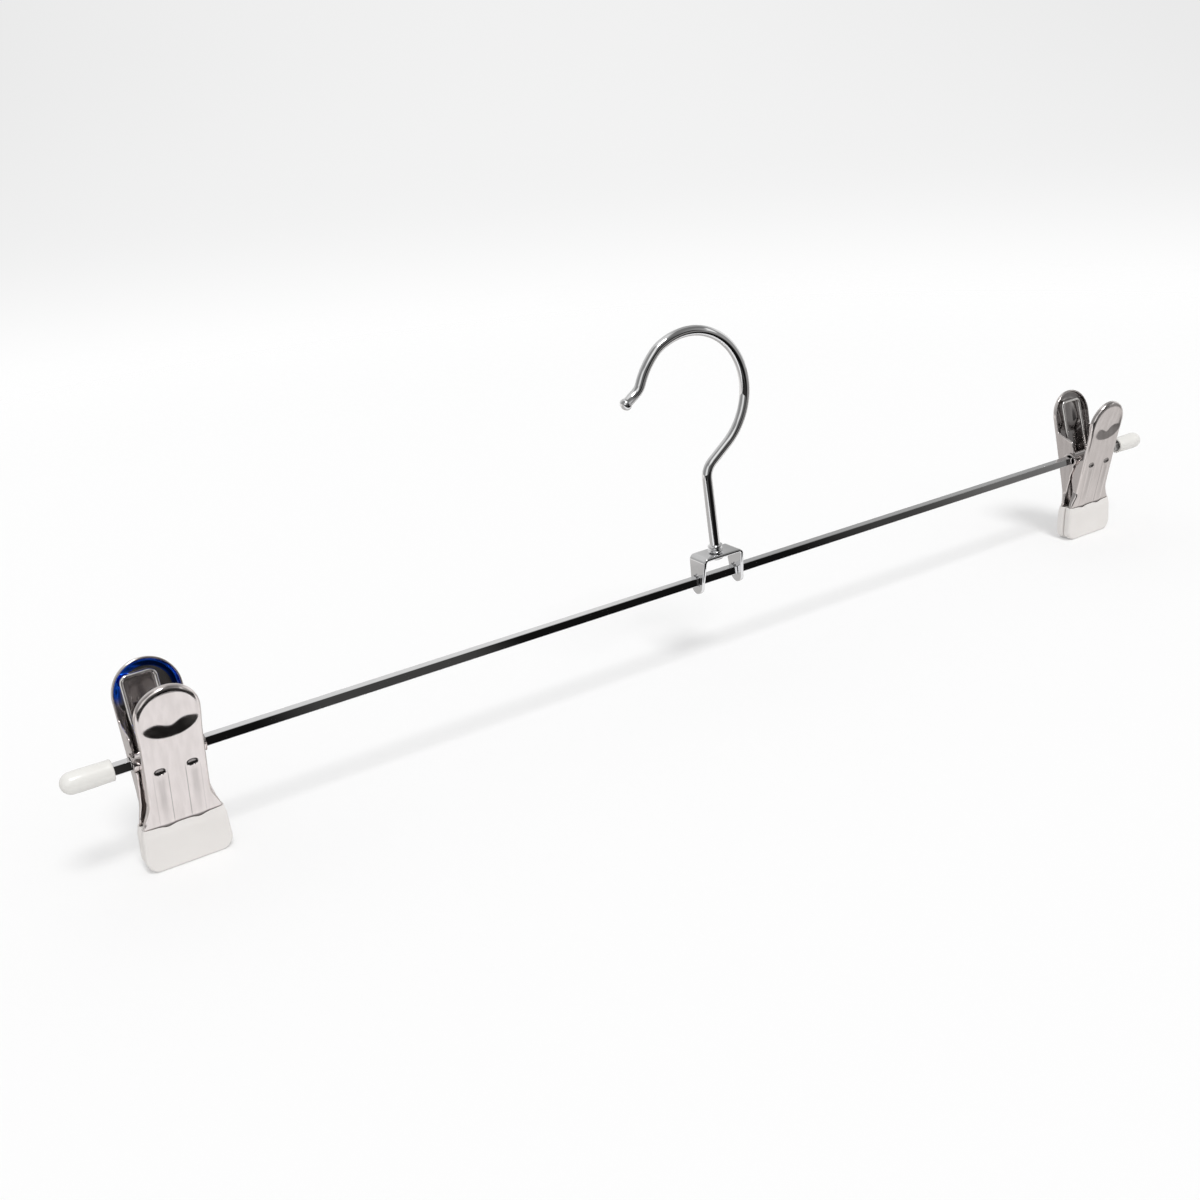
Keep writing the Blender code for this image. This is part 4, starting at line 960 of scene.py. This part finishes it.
def saddle_grid():
    """A rounded strip section carried along the line of the saddle."""
    path, depth = saddle_line()
    ahead = unit(np.gradient(path, axis=0))
    turns = np.linspace(0, pi / 2, 5)[[0, 0, 1, 2, 3, 4, 4]]
    hold = FLAT_HOLD * np.array([-1.0, 0.0, 0.0, 0.0, 0.0, 0.0, 1.0])
    edge = np.minimum(SADDLE_ROUND, depth * 0.5)[:, None]
    run = hold * np.minimum(1.0, edge / SADDLE_ROUND)
    across, thickness = [], []
    over, under = edge, SADDLE_STRIP - edge
    for quarter, (sy, middle) in enumerate(((1, over), (1, under), (-1, under), (-1, over))):
        angle = quarter * pi / 2 + turns
        across.append(sy * (depth[:, None] - edge) + edge * np.sin(angle) + run * np.cos(angle))
        thickness.append(middle - edge * np.cos(angle) + run * np.sin(angle))
    across, thickness = np.concatenate(across, axis=1), np.concatenate(thickness, axis=1)
    x = path[:, :1] + ahead[:, 1:] * thickness
    z = path[:, 1:] - ahead[:, :1] * thickness
    return closed(stacked(x, across, z)) + [SADDLE_X, 0.0, SADDLE_Z]


# Where the hook stands: the leaning axis that it swivels on
HOOK_FRAME = Matrix.Translation((HOOK_X, 0, SADDLE_Z)) @ Matrix.Rotation(HOOK_LEAN, 4, "Y")


def make_saddle(material):
    """The saddle, with keyholes for the bar and a round hole for the hook."""
    saddle = grid_object("bent_saddle", [saddle_grid()], material)
    square = [(y * BAR_HOLE, z * BAR_HOLE + PIVOT_HEIGHT) for y, z in ((-1, -1), (1, -1), (1, 1), (-1, 1))]
    notch = circle((0.0, PIVOT_HEIGHT + BAR_HOLE), KEY_NOTCH, full_turn(24))
    round_hole = circle((0.0, 0.0), HOOK_HOLE, full_turn(48))
    upright = HOOK_FRAME @ Matrix.Rotation(pi / 2, 4, "Y")
    bore(saddle, [rod_cutter("bar_hole", square, -BAR_DRILL, BAR_DRILL),
                  rod_cutter("key_notch", notch, -BAR_DRILL, BAR_DRILL),
                  rod_cutter("hook_hole", round_hole, -HOOK_DRILL, HOOK_DRILL, upright)])
    dress(saddle, "saddle", "frame")


def hook_line():
    """(u, v, wire radius) along the hook: peened head, neck, collar, stem, kink, loop, tip and ball."""
    wire = HOOK_WIRE
    under = -SADDLE_STRIP - COLLAR_LIFT
    foot = [(0.0, under - deep * MM, r * MM) for deep, r in HOOK_HEAD]
    foot += [(0.0, under, wire), (0.0, COLLAR_LIFT, wire)]
    foot += [(0.0, COLLAR_LIFT + up * MM, r * MM) for up, r in HOOK_COLLAR]
    foot.append((0.0, COLLAR_LIFT + COLLAR_HEIGHT, wire))
    centre = np.array(HOOK_CENTRE)
    kink = np.array([0.0, HOOK_STEM])
    away = centre - kink
    touch = atan2(away[1], away[0]) - asin(HOOK_LOOP / np.hypot(*away)) - pi / 2
    first = centre + HOOK_LOOP * np.array([cos(touch), sin(touch)])
    stem = np.linspace((0.0, foot[-1][1] + STEM_START), kink - np.array([0.0, KINK_START]), 20)
    bend = rounded([stem[-1], kink, first], HOOK_KINK, 14)[1:]
    loop = circle(centre, HOOK_LOOP, np.linspace(touch, HOOK_END, 120))[1:]
    heading = HOOK_END + pi / 2
    end = loop[-1]
    tail = []
    for radius, turn in HOOK_TAIL:
        pole = end + radius * np.array([-sin(heading), cos(heading)])
        ahead = heading + radians(turn) * np.linspace(0.0, 1.0, 13)[1:, None]
        tail.append(pole + radius * np.concatenate([np.sin(ahead), -np.cos(ahead)], axis=1))
        end = tail[-1][-1]
        heading += radians(turn)
    ahead = np.array([cos(heading), sin(heading)])
    neck = asin(wire / HOOK_BALL)
    middle = end + ahead * (HOOK_TIP_STRAIGHT + HOOK_BALL * HOOK_BALL_FLAT * cos(neck))
    turns = np.linspace(neck, pi, 18)
    ball = middle - ahead * HOOK_BALL * HOOK_BALL_FLAT * np.cos(turns)[:, None]
    line = np.concatenate([stem, bend, loop] + tail)
    return np.concatenate([foot, np.column_stack([line, np.full(len(line), wire)]),
                           np.column_stack([ball, np.maximum(HOOK_BALL * np.sin(turns), 0.0)])])


def hook_grid():
    """The hook's wire as rings square to its line, with two pinched lugs on its collar."""
    rows = hook_line()
    u, v, radius = rows.T
    step = np.gradient(rows[:, :2], axis=0)
    stem = v < STEM_CHECKED
    step[stem] = (0.0, 1.0)
    step = unit(step)
    turn = full_turn(40)
    rise = (v - COLLAR_LIFT - LUG_START) / LUG_HEIGHT
    lug = np.where(stem & (rise > 0) & (rise < 1.05), ease(rise * 1.3), 0.0)[:, None]
    pinch = 1.0 + LUG_OUT * lug * np.abs(np.cos(turn)) ** 6 - LUG_IN * lug * np.abs(np.sin(turn)) ** 3
    reach = radius[:, None] * pinch
    x = u[:, None] - step[:, 1:] * reach * np.cos(turn)
    z = v[:, None] + step[:, :1] * reach * np.cos(turn)
    place = np.array(HOOK_FRAME)
    return stacked(x, reach * np.sin(turn), z) @ place[:3, :3].T + place[:3, 3]


def make_hook(material):
    """The swivelling wire hook."""
    dress(grid_object("wire_hook", [hook_grid()], material), "hook", "hook")


# Stage, light and camera

def seen_rays(finish):
    """1 for rays of the camera, of reflections and of clear pieces."""
    camera, glossy, clear = (finish.node("ShaderNodeLightPath", output=f"Is {kind} Ray")
                             for kind in ("Camera", "Glossy", "Transmission"))
    return camera.math("MAXIMUM", glossy).math("MAXIMUM", clear)


def flat_card(name, box, height, material):
    """A flat stage piece over (x from, x to, y from, y to) at a height."""
    left, right, near, far = box
    corners = [(left, near, height), (right, near, height), (right, far, height), (left, far, height)]
    mesh = bpy.data.meshes.new(name)
    mesh.from_pydata(corners, [], [(0, 1, 2, 3)])
    mesh.materials.append(material)
    item = in_scene(name, mesh)
    return item


def make_floor():
    """A pale floor that keeps the shadows; to the eye and in the metal it glows a little besides, up to
    nearly white, and it fades into the backdrop far from the object."""
    finish = new_material("pale floor")
    finish.shade(Base_Color=rgb(0.8, 0.8, 0.8), Roughness=0.9, Specular_IOR_Level=0.0)
    nodes = finish.tree.nodes
    matt = Wire(finish, nodes["Principled BSDF"].outputs[0])
    glow = finish.node("ShaderNodeEmission", None, {"Color": rgb(1, 1, 1), "Strength": FLOOR_GLOW})
    both = finish.node("ShaderNodeAddShader", None, {0: matt, 1: glow})
    picked = finish.node("ShaderNodeMixShader", None, {0: seen_rays(finish), 1: matt, 2: both})
    x, y, _ = finish.place()
    away = (x * x + y * y).math("SQRT").step(*FLOOR_FADE)
    clear = finish.node("ShaderNodeBsdfTransparent")
    faded = finish.node("ShaderNodeMixShader", None, {0: away, 1: picked, 2: clear})
    finish.feed(nodes["Material Output"].inputs["Surface"], faded)
    flat_card("floor", (-FLOOR_REACH, FLOOR_REACH, -FLOOR_REACH, FLOOR_REACH), 0.0, finish.owner)


def make_world():
    """Soft sky light. Seen, it is a pale backdrop, brightest a little under the horizon and duller upwards
    and aside. In the metal the backdrop stands behind, and the rest is a dim room with a few pale and dark
    places: turn is the azimuth from straight behind towards the right, left the same towards the left."""
    world = bpy.data.worlds.new("studio")
    bpy.context.scene.world = world
    finish = Finish(world)
    ground = finish.tree.nodes["Background"]
    x, y, z = finish.place("Generated")
    glossy = finish.node("ShaderNodeLightPath", output="Is Glossy Ray")
    band = z.step(-0.30, -0.19) * z.fall(-0.19, -0.10)
    tone = 0.955 + band * 0.045 - z.step(-0.19, -0.08) * 0.06 - z.step(-0.12, 0.05) * 0.02
    aside = x * cos(CAMERA_YAW) - y * sin(CAMERA_YAW)
    tone = tone * (1.0 - aside * aside * z.step(-0.2, 0.02) * 0.48)
    turn = x.math("ARCTAN2", y)
    left = 0.0 - turn
    room = tone
    # Each row draws the room towards a level by a share that depends on the direction
    for level, share in (
            (0.66, z.step(0.3, 0.55) * z.fall(0.82, 0.95)),
            (0.42, turn.hump(0.85, 0.15, 0.32) * z.step(0.14, 0.26)),
            (0.34, turn.step(1.6, 1.95)),
            (0.88, turn.hump(1.38, 0.22, 0.45) * z.step(-0.12, 0.05) * z.fall(0.38, 0.55)),
            (0.12, turn.step(2.35, 2.75)),
            (0.3, left.step(0.5, 1.2)),
            (0.12, left.step(2.2, 2.9)),
            (0.2, turn.step(0.9, 1.6) * z.step(0.35, 0.65)),
            (0.75, (turn.step(2.5, 2.9) + left.step(2.5, 2.9)) * z.step(0.8, 0.9)),
            (0.85, z.step(0.93, 0.99)),
            (0.95, (turn + z * 0.97).hump(2.455, 0.05, 0.11) * z.step(0.08, 0.16) * z.fall(0.5, 0.56)),
            (0.015, turn.hump(2.77, 0.25, 0.38) * z.fall(0.03, 0.33)),
            (0.95, left.hump(2.65, 0.25, 0.5) * z.step(0.35, 0.55)),
            (0.85, left.hump(2.18, 0.22, 0.42) * z.fall(0.5, 0.62))):
        room = room.toward(level, share)
    outside = finish.node("ShaderNodeCombineColor", None, {0: tone, 1: tone, 2: tone})
    inside = finish.node("ShaderNodeCombineColor", None, {0: room, 1: room, 2: room * 0.99})
    sky = finish.blend(z.step(-0.1, 0.9), rgb(0.66, 0.66, 0.66), rgb(0.76, 0.76, 0.76))
    seen = finish.blend(glossy, outside, inside)
    finish.feed(ground.inputs["Color"], finish.blend(seen_rays(finish), sky, seen))
    finish.feed(ground.inputs["Strength"], 1.0)


def make_key():
    """One soft key high in front of the bar, which gives the single soft shadow."""
    lamp = bpy.data.lights.new("key", "SUN")
    lamp.energy = 1.12
    lamp.angle = radians(18)
    toward = Vector((-0.05, -0.55, 1.0)).normalized()
    in_scene("key", lamp).rotation_euler = toward.to_track_quat("Z", "Y").to_euler()


def studio_card(name, box, tone_at):
    """A card low over the floor that only the metal sees; its tone comes from a function of x and y."""
    finish = new_material(name)
    nodes = finish.tree.nodes
    x, y, _ = finish.place()
    glow = finish.node("ShaderNodeEmission", None, {"Color": CARD_TINT, "Strength": tone_at(x, y)})
    finish.feed(nodes["Material Output"].inputs["Surface"], glow)
    nodes.remove(nodes["Principled BSDF"])
    card = flat_card(name, box, CARD_HEIGHT, finish.owner)
    for kind in ("camera", "diffuse", "shadow", "transmission"):
        setattr(card, f"visible_{kind}", False)


def dark_table(x, y):
    """Nearly black, with a paler patch before the bar, paler ends and a paler far right."""
    near = 0.007 + x.hump(-95 * MM, 25 * MM, 55 * MM) * 0.055 + x.fall(-205 * MM, -180 * MM) * 0.03
    right = (x.step(85 * MM, 150 * MM) * 0.05 + x.step(150 * MM, 230 * MM) * 0.11
             + x.step(230 * MM, 290 * MM) * 0.08)
    far_right = (x + y * 0.62).step(-30 * MM, 60 * MM) * (0.0 - y).step(150 * MM, 320 * MM)
    return near + right + far_right * 0.1


def pale_sheet(x, y):
    """Nearly white, with a greyer band across."""
    return 0.9 - y.step(-8 * MM, 25 * MM) * y.fall(110 * MM, 200 * MM) * 0.36


def dull_sheet(x, y):
    """White that dulls to the right."""
    return 0.96 - x.step(120 * MM, 260 * MM) * 0.24


def make_cards():
    """The table: dark in front of the white sheet that the object stands on, duller sheet to the right, and
    paler sheet behind."""
    studio_card("front_table", (-CARD_WIDE, CARD_WIDE, -CARD_FAR, SHEET_FRONT), dark_table)
    studio_card("rear_table", (-CARD_WIDE, CARD_WIDE, SHEET_REAR, CARD_FAR), pale_sheet)
    studio_card("dull_sheet", (*DULL_SPAN, SHEET_FRONT, SHEET_REAR), dull_sheet)


def make_camera():
    """The camera at the photograph's place, from yaw, pitch and roll."""
    level = cos(CAMERA_PITCH)
    ahead = Vector((sin(CAMERA_YAW) * level, cos(CAMERA_YAW) * level, sin(CAMERA_PITCH)))
    right = ahead.cross(Vector((0, 0, 1))).normalized()
    up = right.cross(ahead)
    turned = right * cos(CAMERA_ROLL) + up * sin(CAMERA_ROLL)
    lifted = up * cos(CAMERA_ROLL) - right * sin(CAMERA_ROLL)
    data = bpy.data.cameras.new("camera")
    data.sensor_width = 36.0
    data.lens = CAMERA_LENS
    data.clip_start = 0.01
    data.clip_end = 20.0
    camera = in_scene("camera", data)
    axes = Matrix((turned, lifted, -ahead)).transposed().to_4x4()
    camera.matrix_world = Matrix.Translation(CAMERA_PLACE) @ axes
    bpy.context.scene.camera = camera


def build():
    """Every piece, then the stage."""
    chrome = make_chrome()
    steel = {side: make_pressed_steel(side) for side in CLIP_X}
    blue_rimmed = make_pressed_steel("left", blue_rim=True)
    spring = make_spring_steel()
    vinyl = make_sleeve_vinyl()
    cap = make_cap_vinyl()
    make_bar(chrome)
    make_saddle(chrome)
    make_hook(chrome)
    for side in ("left", "right"):
        make_cap(side, cap)
        make_pivot_tube(side, steel[side])
        make_spring(side, spring)
        for face in ("front", "rear"):
            make_jaw(side, face, blue_rimmed if (side, face) == ("left", "rear") else steel[side])
            make_sleeve(side, face, vinyl)
    make_floor()
    make_world()
    make_key()
    make_cards()
    make_camera()


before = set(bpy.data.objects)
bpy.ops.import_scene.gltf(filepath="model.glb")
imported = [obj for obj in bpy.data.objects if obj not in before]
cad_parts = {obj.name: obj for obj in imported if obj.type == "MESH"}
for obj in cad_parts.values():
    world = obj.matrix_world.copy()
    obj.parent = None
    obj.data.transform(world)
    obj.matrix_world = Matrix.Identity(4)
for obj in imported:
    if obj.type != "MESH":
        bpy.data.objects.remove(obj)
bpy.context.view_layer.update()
build()
view = bpy.context.scene.view_settings
view.view_transform = "Standard"
bpy.context.view_layer.update()
